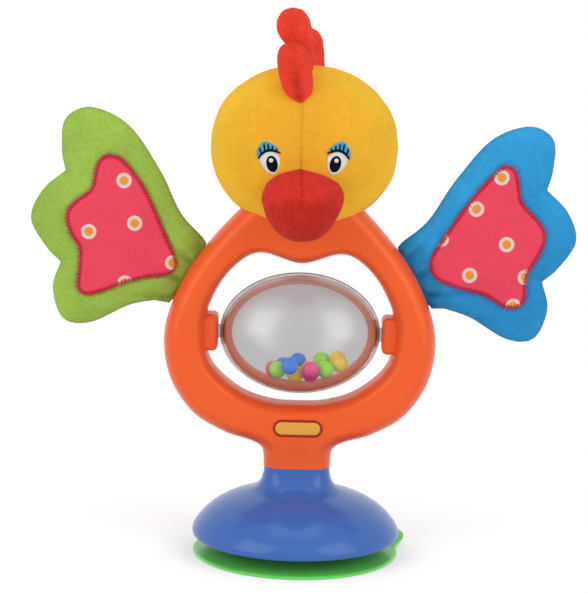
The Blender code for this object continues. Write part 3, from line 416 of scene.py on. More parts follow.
def new_piece(name, verts, faces, material=None, sharp=None, painted_shade=None):
    """A mesh object. The last argument gives each point's share of painted shade, from 0 to 1,
    kept as its seam attribute.
    """
    mesh = bpy.data.meshes.new(name)
    mesh.from_pydata([tuple(float(c) for c in v) for v in verts], [],
                     [tuple(int(i) for i in f) for f in faces])
    obj = link_object(name, mesh)
    if painted_shade is not None:
        shade = mesh.attributes.new("seam", "FLOAT", "POINT")
        shade.data.foreach_set("value", np.asarray(painted_shade, np.float32))
    finish_mesh(mesh, sharp)
    if material:
        mesh.materials.append(material)
    return obj


def settle(obj):
    """Keep the evaluated shape as the object's own mesh, without modifiers."""
    bpy.context.view_layer.update()
    graph = bpy.context.evaluated_depsgraph_get()
    mesh = bpy.data.meshes.new_from_object(obj.evaluated_get(graph))
    mesh.transform(obj.matrix_world)
    name = obj.name
    materials = list(obj.data.materials)
    bpy.data.objects.remove(obj, do_unlink=True)
    if not mesh.materials:
        for material in materials:
            mesh.materials.append(material)
    return link_object(name, mesh)


def combine(obj, tools):
    """Cut with, or add, each (operation, object) in order and apply the result."""
    for operation, tool in tools:
        modifier = obj.modifiers.new(tool.name, "BOOLEAN")
        modifier.operation = operation
        modifier.object = tool
        modifier.solver = "EXACT"
    obj = settle(obj)
    for operation, tool in tools:
        bpy.data.objects.remove(tool, do_unlink=True)
    return obj


def dress(obj, body, slot, *nodes):
    """Put a finished piece on its body and hide the nodes that it stands for. slot is not used."""
    if body:
        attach(obj, body)
    if nodes:
        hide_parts(*nodes)
    return obj


def dress_cut(obj, material, body, slot, *nodes):
    """Finish and dress a piece that was cut from solids."""
    finish_mesh(obj.data, 32)
    obj.data.materials.clear()
    obj.data.materials.append(material)
    return dress(obj, body, slot, *nodes)


def paint(node, material):
    """Give a carried-over CAD node its material."""
    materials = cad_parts[node].data.materials
    if materials:
        for i in range(len(materials)):
            materials[i] = material
    else:
        materials.append(material)


def grid_faces(rows, columns, loop=False):
    """Faces between rows of points that each close on themselves, and as a loop if asked."""
    faces = []
    for row in range(rows if loop else rows - 1):
        a, b = row * columns, (row + 1) % rows * columns
        for column in range(columns):
            after = (column + 1) % columns
            faces.append((a + column, a + after, b + after, b + column))
    return faces


def smooth_path(points, corners=(), steps=8, closed=True):
    """A curve through the points; it breaks only at the corners."""
    points = [Vector(p) for p in points]
    count = len(points)
    ends = set(corners) | (set() if closed else {0, count - 1})

    def slope(i):
        return (points[(i + 1) % count] - points[(i - 1) % count]) / 2

    path = []
    for i in range(count if closed else count - 1):
        j = (i + 1) % count
        a, b = points[i], points[j]
        leave = b - a if i in ends else slope(i)
        arrive = b - a if j in ends else slope(j)
        limit = (b - a).length * 1.4
        leave = leave * min(1.0, limit / leave.length)
        arrive = arrive * min(1.0, limit / arrive.length)
        for k in range(steps):
            t = k / steps
            path.append(a * (2 * t**3 - 3 * t**2 + 1) + leave * (t**3 - 2 * t**2 + t)
                        + b * (3 * t**2 - 2 * t**3) + arrive * (t**3 - t**2))
    if not closed:
        path.append(points[-1])
    return np.array([tuple(p) for p in path])


def even_outline(outline, spacing):
    """The closed outline again, with points an even distance apart."""
    loop = np.vstack([outline, outline[:1]])
    lengths = np.hypot(*np.diff(loop, axis=0).T)
    along = np.concatenate([[0.0], np.cumsum(lengths)])
    at = np.linspace(0.0, along[-1], max(8, int(along[-1] / spacing)), endpoint=False)
    return np.column_stack([np.interp(at, along, loop[:, i]) for i in range(2)])


def inward(outline):
    """Unit vectors that point inwards from each point of a closed outline."""
    way = np.roll(outline, -1, axis=0) - np.roll(outline, 1, axis=0)
    across = np.column_stack([-way[:, 1], way[:, 0]]) / np.hypot(way[:, 0], way[:, 1])[:, None]
    x, z = outline.T
    turn = np.sum(x * np.roll(z, -1) - np.roll(x, -1) * z)
    return across * math.copysign(1.0, turn)


def outline_distance(points, outline):
    """Distance of each point to a closed outline, and how far along it lies."""
    a = outline
    b = np.roll(outline, -1, axis=0)
    edge = b - a
    length = np.hypot(edge[:, 0], edge[:, 1])
    along = np.concatenate([[0.0], np.cumsum(length)[:-1]])
    offset = points[:, None, :] - a[None, :, :]
    share = np.clip((offset * edge).sum(2) / np.maximum(length**2, 1e-18), 0.0, 1.0)
    gap = np.hypot(*(offset - edge * share[:, :, None]).transpose(2, 0, 1))
    nearest = gap.argmin(1)
    row = np.arange(len(points))
    return gap[row, nearest], along[nearest] + share[row, nearest] * length[nearest]


def inside_outline(points, outline):
    inside = np.zeros(len(points), bool)
    for (x0, y0), (x1, y1) in zip(outline, np.roll(outline, -1, axis=0)):
        if y0 != y1:
            crosses = (y0 > points[:, 1]) != (y1 > points[:, 1])
            inside ^= crosses & (points[:, 0] < (x1 - x0) * (points[:, 1] - y0) / (y1 - y0) + x0)
    return inside


def filled_outline(outline, spacing):
    """Even triangles inside a closed outline: points, triangles, and which points edge it."""
    rim = even_outline(outline, spacing)
    low, high = rim.min(0), rim.max(0)
    rise = spacing * math.sqrt(3) / 2
    inner = []
    for row in range(int((high[1] - low[1]) / rise) + 1):
        x = np.arange(low[0] + (row % 2) * spacing / 2, high[0], spacing)
        inner.append(np.column_stack([x, np.full(len(x), low[1] + row * rise)]))
    inner = np.vstack(inner)
    inner = inner[inside_outline(inner, rim)]
    inner = inner[outline_distance(inner, rim)[0] > spacing * 0.55]
    points = [Vector(p) for p in np.vstack([rim, inner])]
    bridges = True
    while bridges:
        result = delaunay_2d_cdt(points, [], [list(range(len(rim)))], 1, 1e-9)
        flat = np.array([tuple(p) for p in result[0]])
        edge = outline_distance(flat, rim)[0] < spacing * 0.01
        sides = [tuple(sorted((f[i], f[i - 1]))) for f in result[2] for i in range(3)]
        bridges = {side for side in sides if edge[list(side)].all() and sides.count(side) > 1}
        points += [Vector(flat[list(side)].mean(0)) for side in sorted(bridges)]
    return flat, [tuple(f) for f in result[2]], edge


def pillow(outline, spacing, front, back, tuck=0.0):
    """Two puffed faces over one outline, sewn together along it.

    front and back give each point's height. The outline is drawn in by the tuck. Returns
    verts, faces and each vert's distance to the outline.
    """
    flat, triangles, edge = filled_outline(outline, spacing)
    rim = even_outline(outline, spacing)
    distance, along = outline_distance(flat, rim)
    heights = front(flat, distance, along), back(flat, distance, along)
    if tuck:
        nearest = ((flat[edge][:, None, :] - rim[None, :, :]) ** 2).sum(2).argmin(1)
        flat[edge] += inward(rim)[nearest] * tuck
    verts = [(x, -h, z) for (x, z), h in zip(flat, heights[0])]
    gaps = list(distance)
    partner = {}
    for i, ((x, z), h) in enumerate(zip(flat, heights[1])):
        if edge[i]:
            partner[i] = i
        else:
            partner[i] = len(verts)
            verts.append((x, h, z))
            gaps.append(distance[i])
    faces = triangles + [tuple(partner[i] for i in reversed(f)) for f in triangles]
    return np.array(verts), faces, np.array(gaps)


def step_up(value, low, high):
    t = np.clip((value - low) / (high - low), 0.0, 1.0)
    return t * t * (3 - 2 * t)


def bell(value, width):
    """1 at zero, fading to both sides over about the width."""
    return np.exp(-(value / width) ** 2)


def circle(count):
    """The cosines and sines of even turns, once round."""
    turns = [2 * math.pi * k / count for k in range(count)]
    return [(math.cos(turn), math.sin(turn)) for turn in turns]


def lumps(points, size, seed):
    """Smooth noise from -1 to 1 at each point, with lumps of the given size."""
    return np.array([noise.noise(Vector((p[0] / size + seed, p[1] / size, seed * 1.7)))
                     for p in points])


def lathe(profile, steps):
    """Verts and faces of a profile of (radius, height) turned about +Z."""
    profile = np.asarray(profile, float)
    turns = np.arange(steps) / steps * 2 * math.pi
    verts = np.stack([np.outer(profile[:, 0], np.cos(turns)),
                      np.outer(profile[:, 0], np.sin(turns)),
                      np.repeat(profile[:, 1:2], steps, 1)], 2).reshape(-1, 3)
    return verts, grid_faces(len(profile), steps)


def rod(name, start, end, radius):
    start, end = Vector(start), Vector(end)
    bm = bmesh.new()
    turn = (end - start).to_track_quat("Z", "Y").to_matrix().to_4x4()
    bmesh.ops.create_cone(bm, cap_ends=True, segments=48, radius1=radius, radius2=radius,
                          depth=(end - start).length,
                          matrix=Matrix.Translation((start + end) / 2) @ turn)
    return object_from(name, bm)


def box_piece(name, low, high, bevel=0.0, matrix=None):
    bm = bmesh.new()
    middle = [(a + b) / 2 for a, b in zip(low, high)]
    size = [b - a for a, b in zip(low, high)]
    bmesh.ops.create_cube(bm, size=1.0,
                          matrix=Matrix.Translation(middle) @ Matrix.Diagonal((*size, 1.0)))
    if bevel:
        bmesh.ops.bevel(bm, geom=bm.edges[:], offset=bevel, segments=6, affect="EDGES",
                        profile=0.5)
    if matrix:
        bm.transform(matrix)
    return object_from(name, bm)


def join(name, objects):
    """One object from several, each a body of its own in the mesh."""
    bm = bmesh.new()
    for obj in objects:
        bm.from_mesh(obj.data)
        bpy.data.objects.remove(obj, do_unlink=True)
    return object_from(name, bm)


# Geometry Nodes

def geometry_tree(name, sockets):
    geometry = ("Geometry", "Geometry")
    return new_tree(name, "GeometryNodeTree", (geometry, *sockets), (geometry,))


def run_tree(obj, tree, values):
    """Run a tree on the object with the values given by name, and keep a plain mesh."""
    modifier = obj.modifiers.new(tree.name, "NODES")
    modifier.node_group = tree
    names = {item.name: item.identifier for item in tree.interface.items_tree
             if item.in_out == "INPUT"}
    for label, value in values.items():
        modifier[names[label]] = value
    return settle(obj)


def finish_tree(tree, given, out, geometry):
    """Realize the instances, give them the material and end the tree."""
    real = add_node(tree, "GeometryNodeRealizeInstances", {"Geometry": geometry})
    smooth = add_node(tree, "GeometryNodeSetShadeSmooth", {"Geometry": real.outputs[0]})
    painted = add_node(tree, "GeometryNodeSetMaterial", {
        "Geometry": smooth.outputs[0], "Material": given["Material"]})
    connect(tree, out, {"Geometry": painted.outputs[0]})


def stitch_tree():
    """Short threads side by side across a sewn path."""
    tree, given, out = geometry_tree("Border stitches", (
        ("Stitch Length", "Float", 0.002), ("Stitch Width", "Float", 0.0004),
        ("Spacing", "Float", 0.0006), ("Slant", "Float", 0.2), ("Material", "Material")))
    path = add_node(tree, "GeometryNodeMeshToCurve", {"Mesh": given["Geometry"]})
    even = add_node(tree, "GeometryNodeResampleCurve", {
        "Curve": path.outputs[0], "Length": given["Spacing"]}, mode="LENGTH")
    thread = add_node(tree, "GeometryNodeMeshUVSphere", {
        "Segments": 6, "Rings": 5, "Radius": 0.5})
    tangent = add_node(tree, "GeometryNodeInputTangent")
    along = add_node(tree, "FunctionNodeAlignRotationToVector", {
        "Vector": tangent.outputs[0]}, axis="X")
    outward = add_node(tree, "FunctionNodeAlignRotationToVector", {
        "Rotation": along.outputs[0], "Vector": (0.0, -1.0, 0.0)}, axis="Z", pivot_axis="X")
    index = add_node(tree, "GeometryNodeInputIndex").outputs[0]
    sign = calc(tree, "SUBTRACT", calc(tree, "MODULO", index, 2.0), 0.5)
    turn = add_node(tree, "FunctionNodeAxisAngleToRotation", {
        "Axis": (0.0, 0.0, 1.0), "Angle": calc(tree, "MULTIPLY", sign, given["Slant"])})
    slanted = add_node(tree, "FunctionNodeRotateRotation", {
        "Rotation": outward.outputs[0], "Rotate By": turn.outputs[0]}, rotation_space="LOCAL")
    chance = add_node(tree, "FunctionNodeRandomValue", {
        "Min": (0.78, 0.72, 0.85), "Max": (1.15, 1.28, 1.2), "Seed": 11},
        data_type="FLOAT_VECTOR")
    size = add_node(tree, "ShaderNodeCombineXYZ", {
        "X": given["Stitch Width"], "Y": given["Stitch Length"], "Z": given["Stitch Width"]})
    uneven = add_node(tree, "ShaderNodeVectorMath", {
        0: size.outputs[0], 1: chance.outputs[0]}, operation="MULTIPLY")
    placed = add_node(tree, "GeometryNodeInstanceOnPoints", {
        "Points": even.outputs[0], "Instance": thread.outputs[0],
        "Rotation": slanted.outputs[0], "Scale": uneven.outputs[0]})
    finish_tree(tree, given, out, placed.outputs[0])
    return tree


def screw_tree():
    """Pan head screws with a cross recess, one at each point, along its aim."""
    tree, given, out = geometry_tree("Cross head screws", (
        ("Head Radius", "Float", 0.0027), ("Head Height", "Float", 0.0018),
        ("Shank Radius", "Float", 0.0014), ("Shank Length", "Float", 0.014),
        ("Recess Width", "Float", 0.0007), ("Material", "Material")))

    def times(socket, factor):
        return calc(tree, "MULTIPLY", socket, factor)

    def raised(kind, inputs, height):
        """A mesh of the kind, raised by the height."""
        shape = add_node(tree, kind, inputs)
        lift = add_node(tree, "ShaderNodeCombineXYZ", {"Z": height})
        return add_node(tree, "GeometryNodeTransform", {
            "Geometry": shape.outputs[0], "Translation": lift.outputs[0]}).outputs[0]

    radius, height, length = given["Head Radius"], given["Head Height"], given["Shank Length"]
    solids = add_node(tree, "GeometryNodeMeshBoolean", operation="UNION", solver="EXACT")
    for kind, inputs, rise in (
            ("GeometryNodeMeshCylinder", {
                "Vertices": 32, "Radius": radius, "Depth": times(height, 0.5)},
             times(height, 0.25)),
            ("GeometryNodeMeshCone", {
                "Vertices": 32, "Radius Top": times(radius, 0.62), "Radius Bottom": radius,
                "Depth": times(height, 0.5)},
             times(height, 0.4999)),
            ("GeometryNodeMeshCylinder", {
                "Vertices": 20, "Radius": given["Shank Radius"], "Depth": length},
             times(length, -0.49))):
        tree.links.new(raised(kind, inputs, rise), solids.inputs["Mesh 2"])
    recess = add_node(tree, "GeometryNodeMeshBoolean", {"Mesh 1": solids.outputs[0]},
                      operation="DIFFERENCE", solver="EXACT")
    for axes in ("XY", "YX"):
        size = add_node(tree, "ShaderNodeCombineXYZ", {
            axes[0]: given["Recess Width"], axes[1]: times(radius, 1.15), "Z": height})
        arm = raised("GeometryNodeMeshCube", {"Size": size.outputs[0]}, times(height, 1.05))
        tree.links.new(arm, recess.inputs["Mesh 2"])
    aim = add_node(tree, "GeometryNodeInputNamedAttribute", {"Name": "aim"},
                   data_type="FLOAT_VECTOR")
    turn = add_node(tree, "FunctionNodeAlignRotationToVector", {
        "Vector": aim.outputs["Attribute"]}, axis="Z")
    placed = add_node(tree, "GeometryNodeInstanceOnPoints", {
        "Points": given["Geometry"], "Instance": recess.outputs[0],
        "Rotation": turn.outputs[0]})
    finish_tree(tree, given, out, placed.outputs[0])
    return tree


# Moulded pieces

CUP_RADIUS, CUP_TOP = box_size("suction_cup", 1) / 2, box_size("suction_cup", 2)
TAB_TURN, TAB_HALF_WIDTH, TAB_REACH = math.radians(20), 0.0085, 0.0056
TAB_RUN, TAB_LIFT = 0.0040, 0.0046
SEAM_Z, NECK_HALF_WIDTH, NECK_HALF_DEPTH = 0.0396, 0.0145, 0.0100
RING_HALF_DEPTH, RING_ROUND, RING_HALF_WIDTH = 0.0120, 0.0072, 0.0597
RING_SIDE_FLAT, HOLE_ROUND, HOLE_SIDE_FLAT = 0.0012, 0.0045, 0.0030
RING_WIDE_Z, RING_TOP_Z, WALL, GAP = 0.0945, 0.1685, 0.0022, 0.0003
HOLE_HALF_WIDTH, HOLE_TOP_Z, HOLE_BOTTOM_Z = 0.0415, 0.1303, 0.0678
AXLE_Z, AXLE_RADIUS, AXLE_END, AXLE_PLAY = 0.0989, 0.0031, 0.0445, 0.0004
EGG_HALF_LENGTH, EGG_RADIUS, EGG_WALL = 0.0349, 0.0265, 0.0016
RING_UPPER = ((0.0, 1.0), (0.27, 0.92), (0.52, 0.74), (0.79, 0.475), (0.95, 0.215), (1.0, 0.0))
RING_LOWER = ((0.945, 0.69), (0.78, 0.425), (0.55, 0.274))
NECK_FLARE = ((0.0070, 0.208), (0.0019, 0.160), (0.0004, 0.085))
HOLE_SHAPE = ((0.0, 1.0), (0.445, 1.068), (0.745, 0.938), (0.95, 0.71), (1.0, 0.50),
              (0.925, 0.27), (0.625, 0.09), (0.30, 0.013), (0.0, 0.0))
SHELL_SCREWS = [(side * x * MM, z * MM)
                for x, z in ((26.17, 62.61), (47.03, 80.57), (24.13, 142.80)) for side in (-1, 1)]
SHELL_SCREW_LENGTH, SHELL_SCREW_SEAT = 0.0138, 0.0063
BASE_SCREW_LENGTH, BASE_SCREW_HEAD = 0.0092, 0.0018
BEARING_LOW, BEARING_HIGH = (0.0360, -0.0070, AXLE_Z - 0.0080), (0.0467, 0.0070, AXLE_Z + 0.0083)
BEARING_ROUND, BORE_START, SLOT_HALF = 0.0022, 0.0338, (0.0055, 0.0011, 0.0143)
LIP_HALF_DEPTH, LIP_INSETS = 0.0006, (0.0008, 0.0013)
POST_RADIUS, WELL_RADIUS, WELL_START, WELL_END = 0.0048, 0.0033, 0.0060, 0.0142
PLATE_MIDDLE = np.array([0.0, 58.4])
WING_ROOT = (0.048995, 0.123897)
WING_TILT = math.radians(30.8)


def wing_matrix(side):
    return (Matrix.Translation((side * WING_ROOT[0], 0.0, WING_ROOT[1]))
            @ Matrix.Rotation(-side * WING_TILT, 4, "Y"))


class HEN_OT_cup(bpy.types.Operator):
    """Suction cup with its knob and release tab"""
    bl_idname = "hen.cup"
    bl_label = "Suction Cup"

    def execute(self, context):
        bead = [(CUP_RADIUS - 0.0006, 0.0), (CUP_RADIUS, 0.0004), (CUP_RADIUS, 0.0010),
                (CUP_RADIUS - 0.0007, 0.0015)]
        top = smooth_path([(0.0440, 0.0015), (0.0400, 0.0019), (0.0320, 0.0029), (0.0220, 0.0044),
                           (0.0110, 0.0061), (0.0075, 0.0066)], steps=6, closed=False)
        knob = [(0.0065, 0.0071), (0.0065, 0.0096), (0.0093, 0.0098), (0.0095, 0.0103),
                (0.0095, 0.0121), (0.0085, 0.0135), (0.0060, CUP_TOP - 0.0001), (0.0, CUP_TOP)]
        under = smooth_path([(0.0, 0.0030), (0.0150, 0.0028), (0.0280, 0.0020), (0.0380, 0.0008),
                             (0.0415, 0.0)], steps=6, closed=False)
        profile = np.array([*under, *bead, *top, *knob])
        verts, faces = lathe(profile, 360)
        radius = np.hypot(verts[:, 0], verts[:, 1])
        off = (np.arctan2(verts[:, 1], verts[:, 0]) - TAB_TURN) * CUP_RADIUS / TAB_HALF_WIDTH
        share = np.clip(1 - np.abs(off) ** 3.2, 0.0, 1.0) ** 0.45
        outer = step_up(radius, CUP_RADIUS - TAB_RUN, CUP_RADIUS)
        grown = 1 + TAB_REACH * share * outer / np.maximum(radius, 0.001)
        verts[:, :2] *= grown[:, None]
        beyond = np.clip((radius - CUP_RADIUS + TAB_RUN) / TAB_RUN, 0.0, 1.0)
        verts[:, 2] += TAB_LIFT * share * beyond ** 1.5
        vinyl = moulded("Green cup vinyl", context.scene.hen_plastics.cup, 0.30, coat=0.2,
                        subsurface=0.35)
        cup = new_piece("suction_cup_moulding", verts, faces, vinyl, 50)
        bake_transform(cup)
        dress(cup, None, "cup", "suction_cup")
        return {"FINISHED"}


def neck_section(half_width, half_depth, roundness, steps=18):
    """A closed section from an oblong with oval corners (roundness 0) to a circle (1)."""
    corner = (RING_ROUND, half_depth - RING_SIDE_FLAT)
    points = []
    for column in range(4 * steps):
        quarter = column // steps
        angle = (quarter + column % steps / (steps - 1)) * math.pi / 2
        across = 1 if quarter in (0, 3) else -1
        ahead = 1 if quarter in (0, 1) else -1
        oblong = Vector((across * (half_width - corner[0]) + corner[0] * math.cos(angle),
                         ahead * (half_depth - corner[1]) + corner[1] * math.sin(angle)))
        even = (column + 0.5) / (4 * steps) * 2 * math.pi
        disc = Vector((math.cos(even), math.sin(even))) * half_width
        points.append(tuple(oblong.lerp(disc, roundness)))
    return points


class HEN_OT_base(bpy.types.Operator):
    """Domed base on the cup, with its underplate"""
    bl_idname = "hen.base"
    bl_label = "Domed Base"

    def execute(self, context):
        plastics = context.scene.hen_plastics
        profile = smooth_path([
            (14.5, 39.6), (14.7, 36.6), (15.5, 33.4), (17.2, 30.6), (20.0, 28.5), (24.6, 26.9),
            (30.6, 24.7), (35.9, 21.9), (40.1, 18.7), (43.3, 15.3), (45.4, 12.2), (46.0, 10.0),
            (45.6, 8.5), (44.3, 7.9)], steps=7, closed=False) * MM
        inner = smooth_path([(42.0, 7.9), (42.6, 9.6), (40.8, 13.8), (36.8, 17.6), (31.0, 20.8),
                             (26.0, 22.8)], steps=4, closed=False) * MM
        verts = []
        for radius, z in [*profile, *inner]:
            roundness = 1 - float(step_up(z, 0.0240, SEAM_Z))
            depth = NECK_HALF_DEPTH + (radius - NECK_HALF_WIDTH) * 0.8
            verts += [(x, y, z) for x, y in neck_section(radius, depth, roundness)]
        rows = len(profile) + len(inner)
        columns = len(verts) // rows
        faces = grid_faces(rows, columns)
        faces += [tuple(range(columns)), tuple(range((rows - 1) * columns, rows * columns))]
        glossy = moulded("Blue base plastic", plastics.base, plastics.gloss, coat=0.3, shine=0.2)
        dome = new_piece("base_dome_moulding", verts, faces, glossy, 40)
        dress(dome, "frame", "base", "base_dome")
        paint("base_plate", moulded("Blue underplate plastic", plastics.base, 0.45))
        return {"FINISHED"}


def ring_outline(steps):
    rise, fall = RING_WIDE_Z - SEAM_Z, RING_TOP_Z - RING_WIDE_Z
    half = [(RING_HALF_WIDTH * x, RING_WIDE_Z + fall * z) for x, z in RING_UPPER]
    half += [(RING_HALF_WIDTH * x, SEAM_Z + rise * z) for x, z in RING_LOWER]
    half += [(NECK_HALF_WIDTH + out, SEAM_Z + rise * z) for out, z in NECK_FLARE]
    half.append((NECK_HALF_WIDTH, SEAM_Z - 0.0105))
    path = smooth_path(half, steps=steps, closed=False)
    return np.vstack([path, path[:0:-1] * (-1, 1)])


def hole_outline(steps):
    height = HOLE_TOP_Z - HOLE_BOTTOM_Z
    half = [(HOLE_HALF_WIDTH * x, HOLE_BOTTOM_Z + height * z) for x, z in HOLE_SHAPE]
    return smooth_path([*half, *[(-x, z) for x, z in reversed(half[1:-1])]], steps=steps)


def rounded_plate(name, outlines, half_depth, rounding, grow, bends):
    """A plate in the XZ plane with round edges, from a 2D curve with holes."""
    curve = bpy.data.curves.new(name, "CURVE")
    curve.dimensions = "2D"
    curve.fill_mode = "BOTH"
    curve.bevel_depth = rounding
    curve.bevel_resolution = bends
    curve.extrude = half_depth - rounding
    curve.offset = grow - rounding
    for outline in outlines:
        spline = curve.splines.new("POLY")
        spline.points.add(len(outline) - 1)
        for point, (x, z) in zip(spline.points, outline):
            point.co = (x, z, 0.0, 1.0)
        spline.use_cyclic_u = True
    obj = link_object(name, curve)
    obj.rotation_euler = (math.pi / 2, 0.0, 0.0)
    obj = settle(obj)
    with edited(obj.data) as bm:
        bmesh.ops.remove_doubles(bm, verts=bm.verts, dist=MERGE)
    return obj


def ring_depth(depth, gap, inset):
    """Half depth of the ring, from that of an even plate and the distance to the hole."""
    flat = RING_HALF_DEPTH - RING_ROUND
    if gap < RING_ROUND and not inset:
        turn = math.sqrt(1 - max(1 - gap / HOLE_ROUND, 0.0) ** 2)
        return (depth * HOLE_SIDE_FLAT / flat if depth <= flat
                else HOLE_SIDE_FLAT + (RING_HALF_DEPTH - HOLE_SIDE_FLAT) * turn)
    if depth < flat:
        return depth * (RING_SIDE_FLAT / flat)
    return RING_SIDE_FLAT + (depth - flat) * (RING_HALF_DEPTH - RING_SIDE_FLAT) / RING_ROUND


def ring_solid(name, inset, steps, bends):
    obj = rounded_plate(name, [ring_outline(steps), hole_outline(steps)],
                        RING_HALF_DEPTH - inset, RING_ROUND - inset, -inset, bends)
    slim = NECK_HALF_DEPTH / RING_HALF_DEPTH
    with edited(obj.data) as bm:
        places = np.array([(vert.co.x, vert.co.z) for vert in bm.verts])
        gaps = outline_distance(places, hole_outline(steps))[0]
        for vert, gap in zip(bm.verts, gaps):
            depth = ring_depth(abs(vert.co.y), gap, inset)
            share = float(step_up(vert.co.z - SEAM_Z, 0.002, 0.016))
            vert.co.y = math.copysign(depth * (slim + (1 - slim) * share), vert.co.y)
        cut = bmesh.ops.bisect_plane(
            bm, geom=[*bm.verts, *bm.edges, *bm.faces],
            plane_co=(0.0, 0.0, SEAM_Z + inset + 0.00005), plane_no=(0.0, 0.0, 1.0),
            clear_inner=True)
        rim = [e for e in cut["geom_cut"] if isinstance(e, bmesh.types.BMEdge)]
        bmesh.ops.triangle_fill(bm, use_beauty=True, use_dissolve=False, edges=rim)
        bm.normal_update()
        bmesh.ops.recalc_face_normals(bm, faces=bm.faces)
    return obj


def bearing_blocks(name):
    ends = [sorted((side * BEARING_LOW[0], side * BEARING_HIGH[0])) for side in (-1, 1)]
    return join(name, [box_piece(name, (near, *BEARING_LOW[1:]), (far, *BEARING_HIGH[1:]),
                                 BEARING_ROUND) for near, far in ends])


def ring_openings():
    """The bores for the egg's pins and the slots for the wings' roots."""
    bores = [rod("bore", (side * BORE_START, 0.0, AXLE_Z),
                 (side * (AXLE_END + AXLE_PLAY), 0.0, AXLE_Z), AXLE_RADIUS + AXLE_PLAY)
             for side in (-1, 1)]
    slots = [box_piece("slot", [-size for size in SLOT_HALF], SLOT_HALF,
                       matrix=wing_matrix(side)) for side in (-1, 1)]
    return join("openings", bores + slots)


def screw_rods(name, start, end, radius):
    """One rod at each shell screw, from front to back."""
    return join(name, [rod(name, (x, start, z), (x, end, z), radius) for x, z in SHELL_SCREWS])


def other_half(side, far, top):
    """A box over all beyond the parting plane and half of its gap."""
    ends = sorted((GAP / 2 * side, -side * far))
    return box_piece("other_half", (-far, ends[0], -far), (far, ends[1], top))


def seam_lip(openings):
    """A lip inside the ring's walls that lets no light through the parting line."""
    outlines = [path + inward(path) * side * inset for path, side in
                ((ring_outline(6), 1), (hole_outline(6), -1)) for inset in LIP_INSETS]
    lip = rounded_plate("ring_seam_lip", outlines, LIP_HALF_DEPTH, 0.0, 0.0, 0)
    neck = box_piece("below_neck", (-0.03, -0.01, 0.0), (0.03, 0.01, SEAM_Z + 0.0002))
    return combine(lip, [("DIFFERENCE", openings), ("DIFFERENCE", neck)])


class HEN_OT_ring(bpy.types.Operator):
    """The two shells of the ring, with bearings, wing slots and screw wells"""
    bl_idname = "hen.ring"
    bl_label = "Ring Shells"

    def execute(self, context):
        plastics = context.scene.hen_plastics
        orange = moulded("Orange ring plastic", plastics.ring, plastics.gloss + 0.08,
                         tint=(1.0, 0.74, 0.30), shine=0.6)
        for word, side in (("front", -1), ("rear", 1)):
            posts = screw_rods("ring_posts", -RING_HALF_DEPTH, RING_HALF_DEPTH, POST_RADIUS)
            hollow = combine(ring_solid("ring_hollow", WALL, 4, 2),
                             [("DIFFERENCE", posts), ("DIFFERENCE", bearing_blocks("clear"))])
            tools = [("DIFFERENCE", hollow), ("UNION", bearing_blocks("bearings")),
                     ("DIFFERENCE", ring_openings())]
            if side > 0:
                wells = screw_rods("wells", WELL_START, WELL_END, WELL_RADIUS)
                tools.append(("DIFFERENCE", wells))
            tools.append(("DIFFERENCE", other_half(side, 0.3, 0.6)))
            shell = combine(ring_solid(f"{word}_ring_shell", 0.0, 8, 7), tools)
            shell.modifiers.new("even shading", "WEIGHTED_NORMAL").keep_sharp = True
            dress_cut(shell, orange, "frame", "ring", f"{word}_shell")
        dress_cut(seam_lip(ring_openings()), orange, "frame", "ring")
        return {"FINISHED"}


def racetrack(half_width, half_height, steps=14):
    """Outline of the name plate, with round ends."""
    points = []
    for middle, start in ((half_width - half_height, -90), (half_height - half_width, 90)):
        for k in range(steps + 1):
            angle = math.radians(start + 180 * k / steps)
            points.append((middle + half_height * math.cos(angle), half_height * math.sin(angle)))
    return (np.array(points) + PLATE_MIDDLE) * MM


def loop_tube(name, path, across, ahead, material, count):
    """A closed tube along (point, outward way) pairs in the XZ plane, with an oval section."""
    verts = [Vector(middle) + out * across * cos + Vector((0.0, ahead * sin, 0.0))
             for middle, out in path for cos, sin in circle(count)]
    return new_piece(name, verts, grid_faces(len(path), count, True), material)


class HEN_OT_plate(bpy.types.Operator):
    """The bare name plate on the front of the ring, in its raised rim"""
    bl_idname = "hen.plate"
    bl_label = "Name Plate"

    def execute(self, context):
        plastics = context.scene.hen_plastics
        foil = surfaced("Gold foil plate", plastics.plate, 0.36, 0.3, (0.2, 0.0001),
                        {"Metallic": 0.25})
        front = RING_HALF_DEPTH
        verts, faces = pillow(
            racetrack(10.0, 2.9), 0.0006,
            lambda flat, gap, along: front + 0.00012 + 0.00028 * step_up(gap, 0.0, 0.0005),
            lambda flat, gap, along: np.full(len(flat), -front + 0.0004))[:2]
        dress(new_piece("name_plate", verts, faces, foil, 60), "frame", "ring")
        path = []
        for x, z in racetrack(10.35, 3.3):
            out = Vector((x - np.clip(x, -0.0070, 0.0070), 0.0, z - PLATE_MIDDLE[1] * MM))
            path.append(((x, -front - 0.00005, z), out.normalized()))
        rim_paint = moulded("Dark red plate rim", plastics.plate_rim, 0.4, shine=0.2)
        rim = loop_tube("name_plate_rim", path, 0.00055, -0.0005, rim_paint, 12)
        dress(rim, "frame", "ring")
        return {"FINISHED"}


def screw_set(name, tree, places, length, material):
    mesh = bpy.data.meshes.new(name)
    mesh.from_pydata([tuple(place) for place, aim in places], [], [])
    aims = mesh.attributes.new("aim", "FLOAT_VECTOR", "POINT")
    aims.data.foreach_set("vector", np.array([aim for place, aim in places], np.float32).ravel())
    obj = run_tree(link_object(name, mesh), tree, {"Shank Length": length, "Material": material})
    finish_mesh(obj.data, 35)
    return obj


